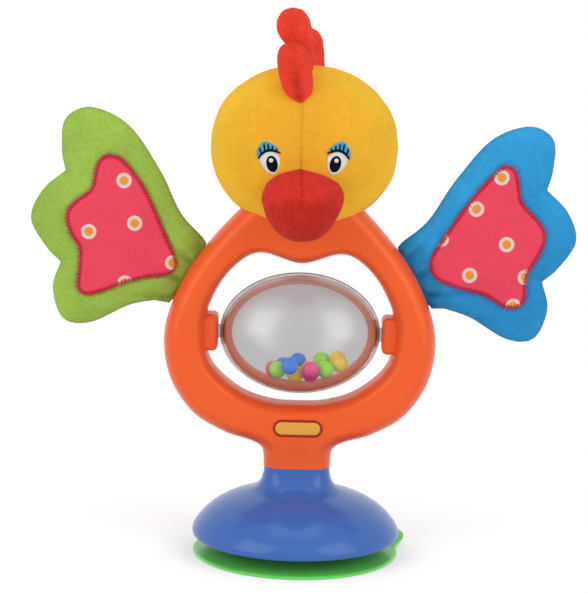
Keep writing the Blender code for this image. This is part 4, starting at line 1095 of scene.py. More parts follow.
class HEN_OT_screws(bpy.types.Operator):
    """Screws that close the ring and hold the underplate"""
    bl_idname = "hen.screws"
    bl_label = "Screws"

    def execute(self, context):
        tree = screw_tree()
        plated = surfaced("Zinc plated steel", (0.56, 0.56, 0.57), 0.32, 0.25, (0.15, 0.0001),
                          {"Metallic": 1.0})
        ring = [((x, SHELL_SCREW_SEAT, z), (0.0, 1.0, 0.0)) for x, z in SHELL_SCREWS]
        shells = screw_set("ring_screws", tree, ring, SHELL_SCREW_LENGTH, plated)
        dress(shells, "frame", "steel", *[f"shell_screw_{i}" for i in range(1, 7)])
        under = []
        for number in range(1, 4):
            x, y, z = box_middle(f"base_screw_{number}")
            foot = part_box(f"base_screw_{number}")[0][2]
            under.append(((x, y, foot + BASE_SCREW_HEAD), (0.0, 0.0, -1.0)))
        base = screw_set("base_screws", tree, under, BASE_SCREW_LENGTH, plated)
        dress(base, "frame", "steel", *[f"base_screw_{i}" for i in range(1, 4)])
        for number in (1, 2):
            paint(f"neck_screw_{number}", plated)
        return {"FINISHED"}


def ellipsoid(name, center, half_sizes, columns=144, rows=100):
    """A closed ellipsoid with its poles on the X axis."""
    verts = []
    for row in range(rows + 1):
        lift = math.pi * row / rows
        for cos, sin in circle(columns):
            verts.append((center[0] - half_sizes[0] * math.cos(lift),
                          center[1] + half_sizes[1] * math.sin(lift) * cos,
                          center[2] + half_sizes[2] * math.sin(lift) * sin))
    return new_piece(name, verts, grid_faces(rows + 1, columns))


class HEN_OT_egg(bpy.types.Operator):
    """The two halves of the clear egg, their axle pins and the belt where they meet"""
    bl_idname = "hen.egg"
    bl_label = "Clear Egg"

    def execute(self, context):
        plastics = context.scene.hen_plastics
        clear = clear_plastic("Smoky clear plastic", plastics.egg, 0.04, (0.76, 0.68, 0.68))
        centre = (0.0, 0.0, AXLE_Z)
        outside = (EGG_HALF_LENGTH, EGG_RADIUS, EGG_RADIUS)
        cavity = [size - EGG_WALL for size in outside]
        for word, side in (("front", -1), ("rear", 1)):
            pins = rod("pins", (-AXLE_END, 0.0, AXLE_Z), (AXLE_END, 0.0, AXLE_Z), AXLE_RADIUS)
            half = combine(ellipsoid(f"egg_{word}_half", centre, outside),
                           [("UNION", pins), ("DIFFERENCE", ellipsoid("cavity", centre, cavity)),
                            ("DIFFERENCE", other_half(side, 0.1, 0.3))])
            dress_cut(half, clear, "egg", "egg", f"egg_{word}")
        # The belt's pink tint, orange below the egg's top, is a painted reflection of the orange
        # ring.
        tinted = clear_plastic("Tinted belt plastic", plastics.belt, 0.2,
                               painted_ring_reflection=(1.0, 0.5, 0.34))
        flange = moulded("Grey flange plastic", srgb(172, 154, 156), 0.35, shine=0.3)
        for number, (inset, radius, carries_painted_reflection) in enumerate(BELT_LINES):
            material = tinted if carries_painted_reflection else flange
            length, height = EGG_HALF_LENGTH - inset, EGG_RADIUS - inset
            path = [((length * x, 0.0, AXLE_Z + height * z),
                     Vector((x / length, 0.0, z / height)).normalized())
                    for x, z in circle(BELT_STEPS)]
            belt = loop_tube(f"egg_belt_{number}", path, radius, radius, material, 8)
            dress(belt, "egg", "egg")
        return {"FINISHED"}


BELT_STEPS = 160
# The belt's lines: how far in from the egg's outline, thickness, and if they carry the tint with
# the painted reflection of the ring.
BELT_LINES = ((0.0001, 0.00042, False), (0.0020, 0.00055, True), (0.0032, 0.00055, True),
              (0.0044, 0.00055, True))
BEAD_COLORS = {"pink": (255, 56, 140), "green": (160, 250, 40), "blue": (0, 132, 250),
               "yellow": (255, 214, 0)}
BEAD_ORDER = ("pink green blue yellow pink green yellow yellow green yellow pink pink green "
              "blue blue").split()


class HEN_OT_beads(bpy.types.Operator):
    """The rattle beads, one object for each colour"""
    bl_idname = "hen.beads"
    bl_label = "Rattle Beads"

    def execute(self, context):
        for color, rgb in BEAD_COLORS.items():
            names = [f"bead_{i:02d}" for i, word in enumerate(BEAD_ORDER, 1) if word == color]
            balls = []
            for name in names:
                radius = box_size(name, 2) / 2
                balls.append(ellipsoid(name + "_ball", box_middle(name), (radius,) * 3, 28, 18))
            beads = join(f"{color}_beads", balls)
            beads.data.shade_smooth()
            beads.data.materials.append(
                moulded(f"{color} bead plastic".capitalize(), srgb(*rgb), 0.2))
            dress(beads, "beads", "bead_" + color, *names)
        return {"FINISHED"}


# Sewn pieces

def puffed(gap, slope, power):
    """How far a stuffed cloth has risen at a distance from its seam, from 0 to 1."""
    return (1 - (1 - np.clip(gap / slope, 0.0, 1.0)) ** 2.3) ** power


def creases(points, valleys, width, reach):
    """Creases that run inwards from the outline's valleys, 1 where they start."""
    total = np.zeros(len(points))
    for (x, z), (dx, dz) in valleys:
        out = (points[:, 0] - x) * dx + (points[:, 1] - z) * dz
        side = (points[:, 0] - x) * dz - (points[:, 1] - z) * dx
        total += bell(side, width) * np.exp(-np.abs(out) / reach)
    return total


def puckers(along, gap, step, size, seed, middle, width):
    """Small waves beside a seam, from -1 to 1, strongest at the middle distance."""
    wander = lumps(np.column_stack([along, along * 0]), size, seed)
    return np.sin(along / step + 3.0 * wander) * bell(gap - middle, width)


HEAD_HALF = np.array([0.0406, 0.0330, 0.0352])
HEAD_Z, HEAD_SEAM_X, HEAD_SQUARE = 0.1808, -0.0014, 0.022
# How far from the seam the head's rows of points lie, in millimetres.
HEAD_ROWS = (0, .25, .5, .8, 1.1, 1.5, 2, 2.6, 3.4, 4.4, 5.6, 7, 8.6, 10.4, 12.4, 14.6, 17, 19.4,
             21.8, 24.2, 26.6, 29, 31.2, 33.2, 35, 36.6, 37.9, 38.9, 39.6, 40.1, 40.45, 40.6)


def head_square(x, z):
    """How much further out the head's outline lies at its four corners."""
    a, c = x / HEAD_HALF[0], z / HEAD_HALF[2]
    return 1 + HEAD_SQUARE * (2 * a * c / np.maximum(a * a + c * c, 1e-6)) ** 2 * (a * a + c * c)


def head_front(x, z, lift=0.0):
    """Depth of the head's front at a point seen from the front."""
    a, b, c = HEAD_HALF + lift
    inside = 1 - (np.asarray(x) / a) ** 2 - ((np.asarray(z) - HEAD_Z) / c) ** 2
    return -b * np.sqrt(np.maximum(inside, 0.0))


class HEN_OT_head(bpy.types.Operator):
    """The stuffed head, with the seam down its middle"""
    bl_idname = "hen.head"
    bl_label = "Stuffed Head"

    def execute(self, context):
        cloths = context.scene.hen_cloths
        across = sorted({round(s * o + HEAD_SEAM_X / MM, 4) for o in HEAD_ROWS for s in (-1, 1)
                         if abs(s * o + HEAD_SEAM_X / MM) < 40.55} | {-40.6, 40.6})
        columns = 300
        verts, painted_shade = [], []
        for x in across:
            share = x * MM / HEAD_HALF[0]
            lift = math.asin(max(-1.0, min(1.0, share)))
            for column in range(columns):
                turn = 2 * math.pi * column / columns
                way = Vector((share, math.cos(lift) * math.cos(turn),
                              math.cos(lift) * math.sin(turn)))
                point = Vector(way[i] * HEAD_HALF[i] for i in range(3))
                normal = Vector(way[i] / HEAD_HALF[i] for i in range(3)).normalized()
                off = x * MM - HEAD_SEAM_X
                drawn = 0.7 * cloths.seam_depth * math.exp(-(off / 0.00055) ** 2)
                ruffle = noise.noise(Vector((turn * 9.0, 3.0, 1.0)))
                # Painted shade along the seam groove, uneven along its length.
                painted_shade.append((0.20 + 0.5 * ruffle * ruffle) * math.exp(-(off / 0.0006) ** 2))
                pucker = 0.00030 * math.exp(-(abs(off) / 0.0045) ** 1.3) * math.sin(
                    turn * 62 + 4.0 * ruffle) * (0.6 + 0.4 * ruffle)
                soft = 0.00045 * noise.noise(point * 55.0) + 0.0003 * noise.noise(point * 130.0)
                fuller = float(head_square(point.x, point.z))
                point = Vector((point.x * fuller, point.y, point.z * fuller))
                verts.append(point + normal * (soft + pucker * min(1.0, abs(off) / 0.0008) - drawn)
                             + Vector((0.0, 0.0, HEAD_Z)))
        # The head's velour gets a painted sheen, lighter and yellower where it is seen from the
        # side.
        head = new_piece("stuffed_head", verts, grid_faces(len(across), columns),
                         velour("Yellow head velour", cloths.head, slanted=(1.06, 1.28, 1.0)),
                         painted_shade=painted_shade)
        dress(head, "frame", "head", "head")
        for node in ("head_post", "squeaker_bulb", "squeaker_reed"):
            paint(node, moulded(f"White {node} plastic", (0.80, 0.80, 0.78), 0.45))
        return {"FINISHED"}


EYE_SCALE = 0.4177
PUPILS = {"left": (-13.5, 175.4), "right": (13.0, 175.9)}
SCLERA = ((-12.5, 5.5), (-9.5, 10.5), (-4.5, 13), (2.5, 12), (7.5, 7.5), (8.2, .5), (6.8, -6),
          (3, -10.5), (-2, -10), (-7.5, -5.5), (-11.5, .5))
LID = ((-15.5, 7), (-15, 13.5), (-11, 20), (-6.5, 22.5), (-.5, 20.8), (4.5, 16.5), (8.6, 11.2),
       (3.5, 12.3), (-2.5, 13.3), (-8, 11.3), (-12.5, 6.3))
LINER = ((-14.2, 4.6), (-11.5, 8.6), (-8, 11.8), (-2.5, 13.8), (3.5, 12.9), (8.6, 10.8))
LASHES = (((-7.4, 12.0), (-8.6, 20.6)), ((-3.8, 13.3), (-4.4, 20.4)), ((0, 13.3), (0, 18.6)),
          ((-11, 9.2), (-13, 15.8)), ((3.6, 12.5), (4.6, 16.0)))


def oval(width, height, tilt, middle=(0.0, 0.0), count=28):
    turn = math.radians(tilt)
    points = []
    for cos, sin in circle(count):
        x, z = width / 2 * cos, height / 2 * sin
        points.append((middle[0] + x * math.cos(turn) - z * math.sin(turn),
                       middle[1] + x * math.sin(turn) + z * math.cos(turn)))
    return points


def stroke(points, width):
    """Outline of a drawn line that tapers at its ends."""
    path = (smooth_path(points, steps=6, closed=False) if len(points) > 2
            else np.linspace(*np.array(points), 8))
    way = np.gradient(path, axis=0)
    way /= np.hypot(way[:, 0], way[:, 1])[:, None]
    across = np.column_stack([-way[:, 1], way[:, 0]])
    sweep = math.pi * np.linspace(0.05, 0.95, len(path))
    half = (width / 2 * (0.35 + 0.65 * np.sin(sweep)))[:, None]
    return np.vstack([path + across * half, (path - across * half)[::-1]])


def on_head(name, outline, lift, material):
    """A raised embroidered shape that lies on the front of the head."""
    verts, faces = pillow(
        outline, 0.00045,
        lambda flat, gap, along: lift - 0.00018 * (1 - step_up(gap, 0.0, 0.0004)),
        lambda flat, gap, along: np.full(len(flat), 0.0006))[:2]
    verts[:, 1] += head_front(verts[:, 0], verts[:, 2])
    return new_piece(name, verts, faces, material)


class HEN_OT_eyes(bpy.types.Operator):
    """The embroidered eyes, lids and lashes"""
    bl_idname = "hen.eyes"
    bl_label = "Embroidered Eyes"

    def execute(self, context):
        white = embroidered("White eye thread", srgb(234, 232, 240), (0.0, 0.2, 0.0))
        black = embroidered("Black eye thread", srgb(8, 7, 9), (0.0, -0.3, 0.0), shine=0.08)
        blue = embroidered("Blue lid thread", srgb(70, 165, 205), (0.0, 0.5, 0.0))
        shapes = (
            ("sclera", smooth_path(SCLERA, steps=4), 0.00035, white),
            ("pupil", oval(11.4, 17.0, 12), 0.00060, black),
            ("glint", oval(4.6, 4.6, 0, (-1.0, 3.6)), 0.00078, white),
            ("lid", smooth_path(LID, (0, 6), 4), 0.00055, blue),
            ("liner", stroke(LINER, 2.6), 0.00082, black),
            *[(f"lash_{i}", stroke(line, 1.9), 0.00082, black)
              for i, line in enumerate(LASHES, 1)],
        )
        for word, side in (("left", 1), ("right", -1)):
            middle = np.array(PUPILS[word])
            for label, outline, lift, material in shapes:
                placed = (np.asarray(outline) * (side * EYE_SCALE, EYE_SCALE) + middle) * MM
                piece = on_head(f"{word}_eye_{label}", placed, lift, material)
                dress(piece, "frame", "head")
        return {"FINISHED"}


COMB_LOFT, COMB_SLOPE, COMB_TUCK, COMB_TIP_Z = 7.1, 8.2, 0.2, 201.0
COMB_OUTLINE = (
    (-24.0, 196.0), (-27.2, 200.6), (-29.2, 204.6), (-29.7, 211.5), (-27.4, 219.8), (-21.0, 226.0),
    (-14.6, 222.6), (-11.6, 232.0), (-6.4, 238.4), (0.2, 240.6), (6.4, 238.0), (9.6, 231.5),
    (10.8, 228.6), (15.6, 232.0), (21.6, 229.8), (25.0, 222.6), (24.6, 212.5), (21.0, 203.0),
    (0.0, 197.0))
COMB_CORNERS = (0, 6, 12, 17, 18)
COMB_VALLEYS = (((-14.6, 222.6), (0.25, -0.97)), ((10.8, 228.6), (-0.25, -0.97)))
COMB_MIDDLE = ((195, -1.6), (200, -2.2), (204, -3.0), (212, -4.4), (218, -5.5), (224, -6.2),
               (240, -6.1))


def between_lobes(y, z):
    """1 in the waist under the middle lobe, fading out in front, behind, above and below."""
    return bell(z - 223.0, 3.6) * step_up(y, -17.5, -12.5) * (1 - step_up(y, 9.0, 15.0))


def comb_middle(y, z):
    """Sideways place of the comb's ridge seam, in millimetres."""
    heights, places = zip(*COMB_MIDDLE)
    waist = 3.0 * bell(z - 222.0, 6.0) * step_up(y, -17.0, -9.0)
    back = step_up(y, 0.0, 15.0)
    return np.interp(z, heights, places) + waist * (1 - back) + 6.4 * back


class HEN_OT_comb(bpy.types.Operator):
    """The stuffed comb: two cloths sewn round three lobes"""
    bl_idname = "hen.comb"
    bl_label = "Comb"

    def execute(self, context):
        def height(seed):
            def over(flat, gap, along):
                rise = np.clip(gap / COMB_SLOPE, 0.0, 1.0)
                loft = COMB_LOFT * puffed(gap, COMB_SLOPE, 0.56)
                loft -= 2.2 * creases(flat, COMB_VALLEYS, 2.2, 7.0) * rise
                loft *= 1 - 0.30 * between_lobes(flat[:, 0], flat[:, 1])
                loft *= 1 - 0.18 * step_up(flat[:, 0], 9.0, 17.0) * (
                    1 - step_up(flat[:, 1], 207.0, 221.0))
                loft *= np.clip((flat[:, 1] - COMB_TIP_Z) / 10.5, 0.0, 1.0) ** 0.20
                pucker = puckers(along, gap, 0.62, 6.0, seed, 1.4, 1.3)
                return np.maximum(loft + 0.26 * pucker + 0.35 * lumps(flat, 7.0, seed) * rise,
                                  0.3 * np.minimum(gap, 1.0))
            return over

        outline = smooth_path(COMB_OUTLINE, COMB_CORNERS, 8)
        verts, faces, gaps = pillow(outline, 0.72, height(1.3), height(4.1), COMB_TUCK)
        y, x, z = verts[:, 0], -verts[:, 1], verts[:, 2]
        x = x + comb_middle(y, z)
        cloths = context.scene.hen_cloths
        uneven = 0.6 + 0.4 * lumps(np.column_stack([y, z]), 2.2, 7.7)
        # Painted shade along the sewn outline, fading on the upper lobes, and in the waist between
        # the lobes.
        seam = bell(gaps, 0.6) * uneven * (1 - 0.75 * step_up(z, 209.0, 221.0))
        painted_shade = np.clip(seam + 0.35 * between_lobes(y, z), 0.0, 1.0)
        comb = new_piece("comb_cloth", np.column_stack([x, y, z]) * MM, faces,
                         velour("Red comb velour", cloths.comb, 0.6), painted_shade=painted_shade)
        dress(comb, "frame", "comb", "comb")
        return {"FINISHED"}


BEAK_MIDDLE = np.array([-0.5, 159.6])
BEAK_OUTLINE = ((-1.5, 174.9), (-10.2, 171.9), (-15.7, 166.6), (-17.6, 161.0), (-16.8, 156.8),
                (-15.4, 152.7), (-11.8, 147.6), (-6.9, 143.9), (-.6, 142.6), (6.3, 143.9),
                (11.1, 147.8), (14.4, 153.0), (16.4, 157.6), (17.1, 162.2), (14.7, 167.3),
                (8.4, 171.7))


class HEN_OT_beak(bpy.types.Operator):
    """The stuffed beak: a seam down its top and ribbed cloth below"""
    bl_idname = "hen.beak"
    bl_label = "Beak"

    def execute(self, context):
        columns, rows = 420, 150
        outline = smooth_path(BEAK_OUTLINE, (0,), steps=12)
        polar = outline - BEAK_MIDDLE
        angles = np.unwrap(np.arctan2(polar[:, 1], polar[:, 0]))
        reach = np.hypot(polar[:, 0], polar[:, 1])
        order = np.argsort(angles)
        turns = np.linspace(0, 2 * math.pi, columns, endpoint=False)
        radii = np.interp(turns, angles[order], reach[order], period=2 * math.pi)
        sweep = np.linspace(0, math.pi, rows)
        share = np.sin(sweep)
        depth = np.where(sweep < math.pi / 2, -17.4, 11.0) * np.abs(np.cos(sweep)) ** 0.9
        x = BEAK_MIDDLE[0] + np.outer(share, radii * np.cos(turns))
        z = BEAK_MIDDLE[1] + np.outer(share, radii * np.sin(turns))
        y = -27.4 + np.repeat(depth[:, None], columns, 1)
        front = step_up(-y, 24.0, 33.0)
        y -= 1.3 * front * bell(z - 161.0, 4.0) * bell(x, 11.0)
        y += 2.2 * step_up(z, 163.0, 174.0) * front
        patchy = lumps(np.stack([x, z], 2).reshape(-1, 2), 3.0, 2.6).reshape(x.shape)
        low = step_up(165.5 - 0.022 * x**2 + 2.0 * patchy - z, 0.0, 5.5)
        wale = np.sin(2 * math.pi * (x + 0.10 * (z - 160) * x / 17.0 + 0.25 * patchy) / 1.15)
        course = np.sin(2 * math.pi * z / 0.95)
        rib = front * (0.17 * low + 0.03) * (wale + 0.18 * course)
        seam = 0.75 * bell(x + 0.9 + 0.5 * patchy, 0.55) * step_up(z, 158.5, 161.5) * front
        near = np.exp(-(np.abs(x + 0.9) / 2.6)) * step_up(z, 160.0, 163.0) * front
        pucker = 0.28 * near * np.sin(2 * math.pi * z / 2.1)
        y = y - rib - pucker + seam
        verts = np.stack([x, y, z], 2).reshape(-1, 3) * MM
        cloths = context.scene.hen_cloths
        # Painted shade over the ribbed lower half, varying with the ribs, and along the top seam,
        # over a patchy tone of the cloth.
        tone_and_rib_shade = (0.06 + 0.08 * patchy + 0.20 * low * (1 + wale)) * front
        painted_shade = np.clip((0.45 + 0.3 * patchy) * seam / 0.75 + tone_and_rib_shade, 0.0, 1.0).ravel()
        beak = new_piece("beak_cloth", verts, grid_faces(rows, columns),
                         velour("Red beak cloth", cloths.beak, 0.75), painted_shade=painted_shade)
        dress(beak, "frame", "beak", "beak")
        return {"FINISHED"}


WING_LOFT, WING_SLOPE = 4.4, 7.4
WING_OUTLINE = (
    (-4.0, 13.2), (0.1, 13.4), (0.5, 15.8), (4.0, 17.2), (18.2, 20.6), (37.1, 30.9),
    (57.9, 39.0), (75.1, 36.6), (81.5, 26.6), (75.9, 15.1), (69.2, 7.8), (72.9, -5.0),
    (70.5, -17.9), (58.3, -24.6),
    (49.3, -26.6), (46.0, -38.2), (35.3, -46.9), (24.3, -42.0), (14.3, -26.8), (6.3, -18.6),
    (0.5, -15.8), (0.1, -13.4), (-4.0, -13.2))
WING_CORNERS = (0, 1, 2, 10, 14, 19, 20, 21)
WING_SAG = math.radians(1.9)
WING_GROWTH = {"left": 0.9, "right": 0.6}
WING_DROP = {"left": 0.0, "right": 0.8}
# How much painted shade darkens each wing towards its bottom.
WING_SHADE = {"left": 0.04, "right": 0.26}
WING_VALLEYS = (((69.2, 7.8), (-0.97, 0.10)), ((49.3, -26.6), (-0.62, 0.78)))
PATCH_OUTLINES = {
    "left": ((57.0, 24.9), (59.6, 21.9), (59.5, 17.9), (57.8, 13.3), (56.3, 9.5), (56.5, 5.6),
             (58.4, 1.0), (59.5, -3.4), (58.9, -7.4), (56.2, -11.0), (51.4, -14.4), (46.8, -16.4),
             (43.5, -20.6), (40.2, -26.6), (38.0, -30.9), (35.2, -32.8), (32.0, -32.0),
             (29.0, -29.0), (25.1, -23.9), (20.8, -18.0), (15.2, -11.7), (10.0, -7.2),
             (6.9, -3.8), (6.4, -0.7), (8.2, 2.5), (12.6, 5.3), (18.6, 9.5), (25.9, 14.4),
             (32.8, 18.8), (40.3, 22.7), (47.5, 25.2), (53.0, 26.1)),
    "right": ((58.5, 26.0), (55.1, 26.3), (48.9, 24.2), (39.7, 20.8), (32.2, 17.3), (24.4, 13.0),
              (17.1, 9.1), (11.7, 5.7), (9.1, 2.4), (8.5, -1.9), (10.7, -6.6), (15.5, -12.0),
              (20.9, -16.8), (25.3, -21.5), (28.1, -26.4), (30.9, -29.9), (34.4, -31.7),
              (37.9, -31.0), (40.5, -27.9), (42.6, -24.0), (45.6, -20.6), (50.8, -17.3),
              (56.8, -13.1), (59.7, -9.3), (60.4, -4.3), (59.1, 1.5), (57.5, 6.7), (57.4, 10.4),
              (59.0, 14.9), (60.5, 19.8), (60.6, 23.4)),
}
PATCH_DOTS = {
    "left": ((45.5, 20.3), (31.9, 6.9), (46.9, -6.8), (8.8, 0.9), (21.8, -17.6)),
    "right": ((54.9, 20.6), (38.8, 14.0), (42.8, -6.0), (22.3, -9.9), (19.2, 10.0), (43.0, -22.6),
              (32.4, -31.2)),
}


def wing_outline(growth, drop):
    """The sewn outline of a wing, grown beyond its root and hanging lower at its lobes."""
    path = smooth_path(WING_OUTLINE, WING_CORNERS, 8)
    path = path - inward(path) * (growth * step_up(path[:, 0], 12.0, 34.0))[:, None]
    path[:, 1] -= drop * step_up(np.abs(path[:, 1]), 15.0, 38.0)
    return path


def root_folds(n, v, seed):
    """Folds that fan out from the narrow root, from about -1.6 to 1.6."""
    fade = np.exp(-np.maximum(n - 2.0, 0.0) / 11.0) * step_up(n, 0.0, 3.0)
    fan = v / (1.0 + 0.035 * np.maximum(n, 0.0))
    return fade * (np.sin(fan / 1.35 + seed) + 0.6 * np.sin(fan / 0.72 + 2 * seed + 0.05 * n))


def wing_height(points, distance, along, seed, patch=None):
    """Height of one face of a wing in millimetres, over points in its flat plane."""
    n, v = points[:, 0], points[:, 1]
    height = WING_LOFT * puffed(distance, WING_SLOPE, 0.62)
    height *= 0.23 + 0.77 * step_up(n, -0.5, 13.0)
    height *= 1 - 0.78 * step_up(-n, -1.4, -0.4)
    height += 0.85 * root_folds(n, v, seed) * step_up(distance, 0.0, 3.0)
    height -= 1.5 * creases(points, WING_VALLEYS, 2.0, 9.0)
    height += 0.40 * lumps(points, 13.0, seed) * step_up(distance, 0.0, 6.0)
    height += 0.20 * puckers(along, distance, 0.78, 9.0, seed, 1.6, 1.7)
    if patch is not None:
        edge = outline_distance(points, even_outline(patch, 1.0))[0]
        height -= 0.55 * bell(edge, 1.5)
    return np.maximum(height, np.minimum(distance * 0.8, 0.25))


def place_wing(verts, side):
    """From a wing's own flat plane, in millimetres, to its place on the toy.

    The stuffed cloth hangs a little to one side of its root.
    """
    verts = verts.copy()
    angle = -side * WING_SAG * step_up(verts[:, 0], 0.5, 9.0)
    n, v = verts[:, 0].copy(), verts[:, 2].copy()
    verts[:, 0] = n * np.cos(angle) - v * np.sin(angle)
    verts[:, 2] = n * np.sin(angle) + v * np.cos(angle)
    matrix = np.array(wing_matrix(side)) @ np.diag((side, 1.0, 1.0, 1.0))
    return verts * MM @ matrix[:3, :3].T + matrix[:3, 3]


def patch_material(word, side):
    """Printed cotton: ringed dots on pink, over a fine weave."""
    cloths = bpy.context.scene.hen_cloths
    material, tree, shader = new_material(f"{word.capitalize()} patch print")
    local = add_node(tree, "ShaderNodeMapping", {
        "Vector": object_place(tree), "Location": (side * WING_ROOT[0], 0.0, WING_ROOT[1]),
        "Rotation": (0.0, -side * WING_TILT, 0.0), "Scale": (side * 1.0, 1.0, 1.0)},
        vector_type="TEXTURE")
    flat = add_node(tree, "ShaderNodeVectorMath", {
        0: local.outputs[0], 1: (1.0, 0.0, 1.0)}, operation="MULTIPLY")
    gaps = [add_node(tree, "ShaderNodeVectorMath", {
        0: flat.outputs[0], 1: (n * MM, 0.0, v * MM)}, operation="DISTANCE").outputs["Value"]
        for n, v in PATCH_DOTS[word]]
    nearest = gaps[0]
    for gap in gaps[1:]:
        nearest = calc(tree, "MINIMUM", nearest, gap)
    color = (*cloths.patch, 1.0)
    for reach, paint_color in ((3.3, srgb(222, 202, 190)), (1.95, srgb(228, 144, 48))):
        mask = ramp(tree, nearest, (reach + 0.18) * MM, (reach - 0.18) * MM)
        color = mixed(tree, "MIX", mask, color, paint_color)
    cloth = group_node(tree, "pile", {
        "Color": color, "Tufts per Metre": 3400.0, "Knit per Metre": 1700.0, "Mottle": 0.2})
    connect(tree, shader, {
        "Base Color": cloth["Color"], "Roughness": 0.85, "Sheen Weight": 0.1,
        "Normal": bumped(tree, cloth["Height"], 0.3, 0.0003)})
    return material


class HEN_OT_wings(bpy.types.Operator):
    """The padded wings with their patches and border stitches"""
    bl_idname = "hen.wings"
    bl_label = "Wings"

    def execute(self, context):
        cloths, sewing = context.scene.hen_cloths, context.scene.hen_stitching
        stitches = stitch_tree()
        thread = embroidered("Crimson border thread", cloths.patch_thread, (0.0, 0.0, 0.0))
        for word, side, seed in (("left", -1, 2.0), ("right", 1, 5.3)):
            outline = wing_outline(WING_GROWTH[word], WING_DROP[word])
            rim = even_outline(outline, 1.0)
            color = cloths.left_wing if side < 0 else cloths.right_wing
            # Colour of each wing's painted shade.
            shade = (0.48, 0.36, 0.30) if side < 0 else (0.20, 0.30, 0.44)
            patch = smooth_path(PATCH_OUTLINES[word], steps=4)
            verts, faces, gaps = pillow(
                outline, 0.9,
                lambda flat, gap, along: wing_height(flat, gap, along, seed, patch),
                lambda flat, gap, along: wing_height(flat, gap, along, seed + 1.9), 0.4)
            n, v = verts[:, 0], verts[:, 2]
            # Painted shade in the root folds, close to the root by the ring, along the sewn edge
            # and towards the bottom.
            painted_shade = np.clip(-0.22 * root_folds(n, v, seed), 0.0, 1.0)
            painted_shade = np.clip(painted_shade + 0.45 * np.exp(-np.maximum(n, 0.0) / 5.0)
                           + 0.35 * bell(gaps, 0.8)
                           + WING_SHADE[word] * step_up(24.0 - v, 0.0, 50.0), 0.0, 1.0)
            cover = new_piece(f"{word}_wing_cover", place_wing(verts, side), faces,
                              velour(f"{word.capitalize()} wing velour", color, 0.5, shade),
                              painted_shade=painted_shade)
            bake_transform(cover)
            nodes = [f"{word}_wing_{part}" for part in ("front", "back", "filling", "root")]
            dress(cover, None, f"{word}_wing", *nodes)

            def over_wing(points, lift):
                gap, along = outline_distance(points, rim)
                return wing_height(points, gap, along, seed, patch) + lift

            verts, faces = pillow(
                patch, 1.0,
                lambda flat, gap, along: over_wing(flat, 0.25 + 0.3 * step_up(gap, 0.0, 1.2)),
                lambda flat, gap, along: -over_wing(flat, -0.15))[:2]
            gaps = outline_distance(verts[:, [0, 2]], even_outline(patch, 1.0))[0]
            rim_points = np.isclose(gaps, 0.0, atol=0.02)
            verts[rim_points, 1] = -over_wing(verts[rim_points][:, [0, 2]], 0.12)
            cloth = new_piece(f"{word}_wing_patch_cloth", place_wing(verts, side), faces,
                              patch_material(word, side))
            dress(cloth, f"{word}_wing", "patch", f"{word}_wing_patch")

            path = even_outline(patch, 0.4)
            middle = patch.mean(0)
            path = path + (middle - path) / np.hypot(*(middle - path).T)[:, None] * 0.55
            lifted = np.column_stack([path[:, 0], -over_wing(path, 0.80), path[:, 1]])
            mesh = bpy.data.meshes.new("stitch_path")
            count = len(path)
            mesh.from_pydata([tuple(p) for p in place_wing(lifted, side)],
                             [(i, (i + 1) % count) for i in range(count)], [])
            row = run_tree(link_object(f"{word}_patch_stitches", mesh), stitches, {
                "Stitch Length": sewing.length, "Stitch Width": sewing.width,
                "Spacing": sewing.spacing, "Slant": 0.5, "Material": thread})
            dress(row, f"{word}_wing", "patch")
        return {"FINISHED"}


# Studio

CAMERA_PLACE, CAMERA_PITCH, CAMERA_ROLL = (-0.003, -0.83, 0.239), -8.5, 1.35
SOFTBOX_SIZE = (0.72, 0.92)
SOFTBOXES = (("left softbox", (-0.74, -0.60, 0.55), 0.88),
             ("right softbox", (0.74, -0.60, 0.55), 0.88),
             ("top softbox", (0.0, 0.05, 1.15), 0.50))
LIGHT_AIM = Vector((0.0, 0.0, 0.11))
FLOOR_CORNERS = [(-6.0, -6.0, 0.0), (6.0, -6.0, 0.0), (6.0, 6.0, 0.0), (-6.0, 6.0, 0.0)]


def seen_rays(tree):
    """1 where the camera sees a surface, also by way of gloss or glass."""
    rays = add_node(tree, "ShaderNodeLightPath").outputs
    seen = calc(tree, "MAXIMUM", rays["Is Camera Ray"], rays["Is Glossy Ray"])
    return calc(tree, "MAXIMUM", seen, rays["Is Transmission Ray"])


def floor_material():
    """Pale floor that keeps the shadow near the toy and turns plain white further out."""
    material, tree, shader = new_material("Pale floor")
    seen = seen_rays(tree)
    connect(tree, shader, {
        "Base Color": (0.93, 0.93, 0.93, 1.0), "Roughness": 0.9, "Specular IOR Level": 0.1,
        "Emission Color": (*WHITE, 1.0), "Emission Strength": calc(tree, "MULTIPLY", seen, 0.24)})
    far = add_node(tree, "ShaderNodeVectorMath", {0: object_place(tree)},
                   operation="LENGTH").outputs["Value"]
    spread = ramp(tree, far, 0.055, 0.17, interpolation_type="SMOOTHSTEP")
    white = add_node(tree, "ShaderNodeEmission", {"Color": (*WHITE, 1.0), "Strength": 1.0})
    mix_surface(tree, calc(tree, "MULTIPLY", spread, seen), shader, white)
    return material


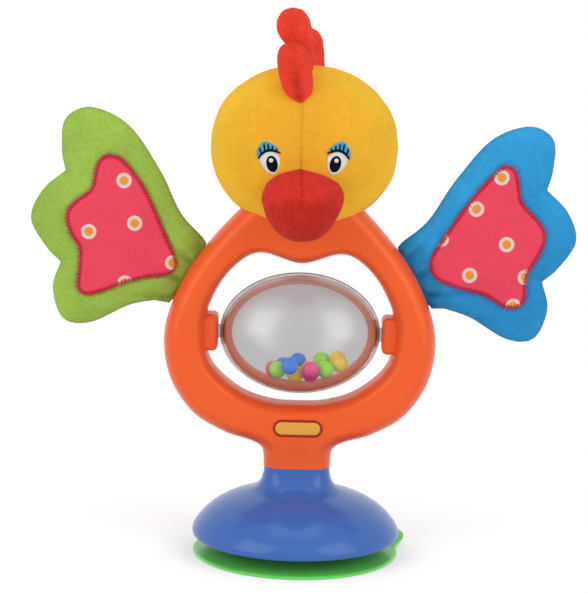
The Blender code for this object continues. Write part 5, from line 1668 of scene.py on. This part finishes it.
class HEN_OT_stage(bpy.types.Operator):
    """Floor, light and the photograph's camera"""
    bl_idname = "hen.stage"
    bl_label = "Studio"

    def execute(self, context):
        scene, studio = context.scene, context.scene.hen_studio
        scene.view_settings.view_transform = "Standard"
        floor = new_piece("floor", FLOOR_CORNERS, [(0, 1, 2, 3)], floor_material())

        world = bpy.data.worlds.new("studio")
        scene.world = world
        world.use_nodes = True
        tree = world.node_tree
        connect(tree, tree.nodes["Background"], {
            "Color": (*WHITE, 1.0),
            "Strength": ramp(tree, seen_rays(tree), 0.0, 1.0, studio.daylight, 1.0)})

        for name, place, share in SOFTBOXES:
            light = bpy.data.lights.new(name, "AREA")
            light.energy = studio.softbox * share
            light.shape = "RECTANGLE"
            light.size, light.size_y = SOFTBOX_SIZE
            lamp = link_object(name, light)
            lamp.location = place
            lamp.rotation_euler = (LIGHT_AIM - Vector(place)).to_track_quat("-Z", "Y").to_euler()

        data = bpy.data.cameras.new("camera")
        data.lens = studio.lens
        data.sensor_width = 36.0
        data.clip_start = 0.01
        scene.camera = link_object("camera", data)
        scene.camera.matrix_world = (
            Matrix.Translation(CAMERA_PLACE)
            @ Matrix.Rotation(math.radians(90 + CAMERA_PITCH), 4, "X")
            @ Matrix.Rotation(math.radians(CAMERA_ROLL), 4, "Z"))
        return {"FINISHED"}


OPERATORS = (HEN_OT_stage, HEN_OT_cup, HEN_OT_base, HEN_OT_ring, HEN_OT_plate, HEN_OT_screws,
             HEN_OT_egg, HEN_OT_beads, HEN_OT_head, HEN_OT_eyes, HEN_OT_comb, HEN_OT_beak,
             HEN_OT_wings)
SETTINGS = (("hen_plastics", HenPlastics), ("hen_cloths", HenCloths),
            ("hen_stitching", HenStitching), ("hen_studio", HenStudio))


class HEN_PT_panel(bpy.types.Panel):
    """Settings and pieces of the hen toy"""
    bl_idname = "HEN_PT_panel"
    bl_label = "Hen Toy"
    bl_space_type = "VIEW_3D"
    bl_region_type = "UI"
    bl_category = "Hen Toy"

    def draw(self, context):
        for name, group in SETTINGS:
            box = self.layout.box()
            box.label(text=group.__doc__)
            for setting in group.__annotations__:
                box.prop(getattr(context.scene, name), setting)
        for operator in OPERATORS:
            self.layout.operator(operator.bl_idname)


def register():
    for group in SETTINGS:
        bpy.utils.register_class(group[1])
        setattr(bpy.types.Scene, group[0], PointerProperty(type=group[1]))
    for item in (*OPERATORS, HEN_PT_panel):
        bpy.utils.register_class(item)


def unregister():
    for item in reversed((*OPERATORS, HEN_PT_panel)):
        bpy.utils.unregister_class(item)
    for name, group in reversed(SETTINGS):
        delattr(bpy.types.Scene, name)
        bpy.utils.unregister_class(group)


def clear_start():
    """Remove what the start-up scene holds."""
    for name in ("Cube", "Light", "Camera"):
        if name in bpy.data.objects:
            bpy.data.objects.remove(bpy.data.objects[name], do_unlink=True)


def main():
    clear_start()
    register()
    for operator in OPERATORS:
        group, name = operator.bl_idname.split(".")
        getattr(getattr(bpy.ops, group), name)()


if __name__ == "__main__":
    main()
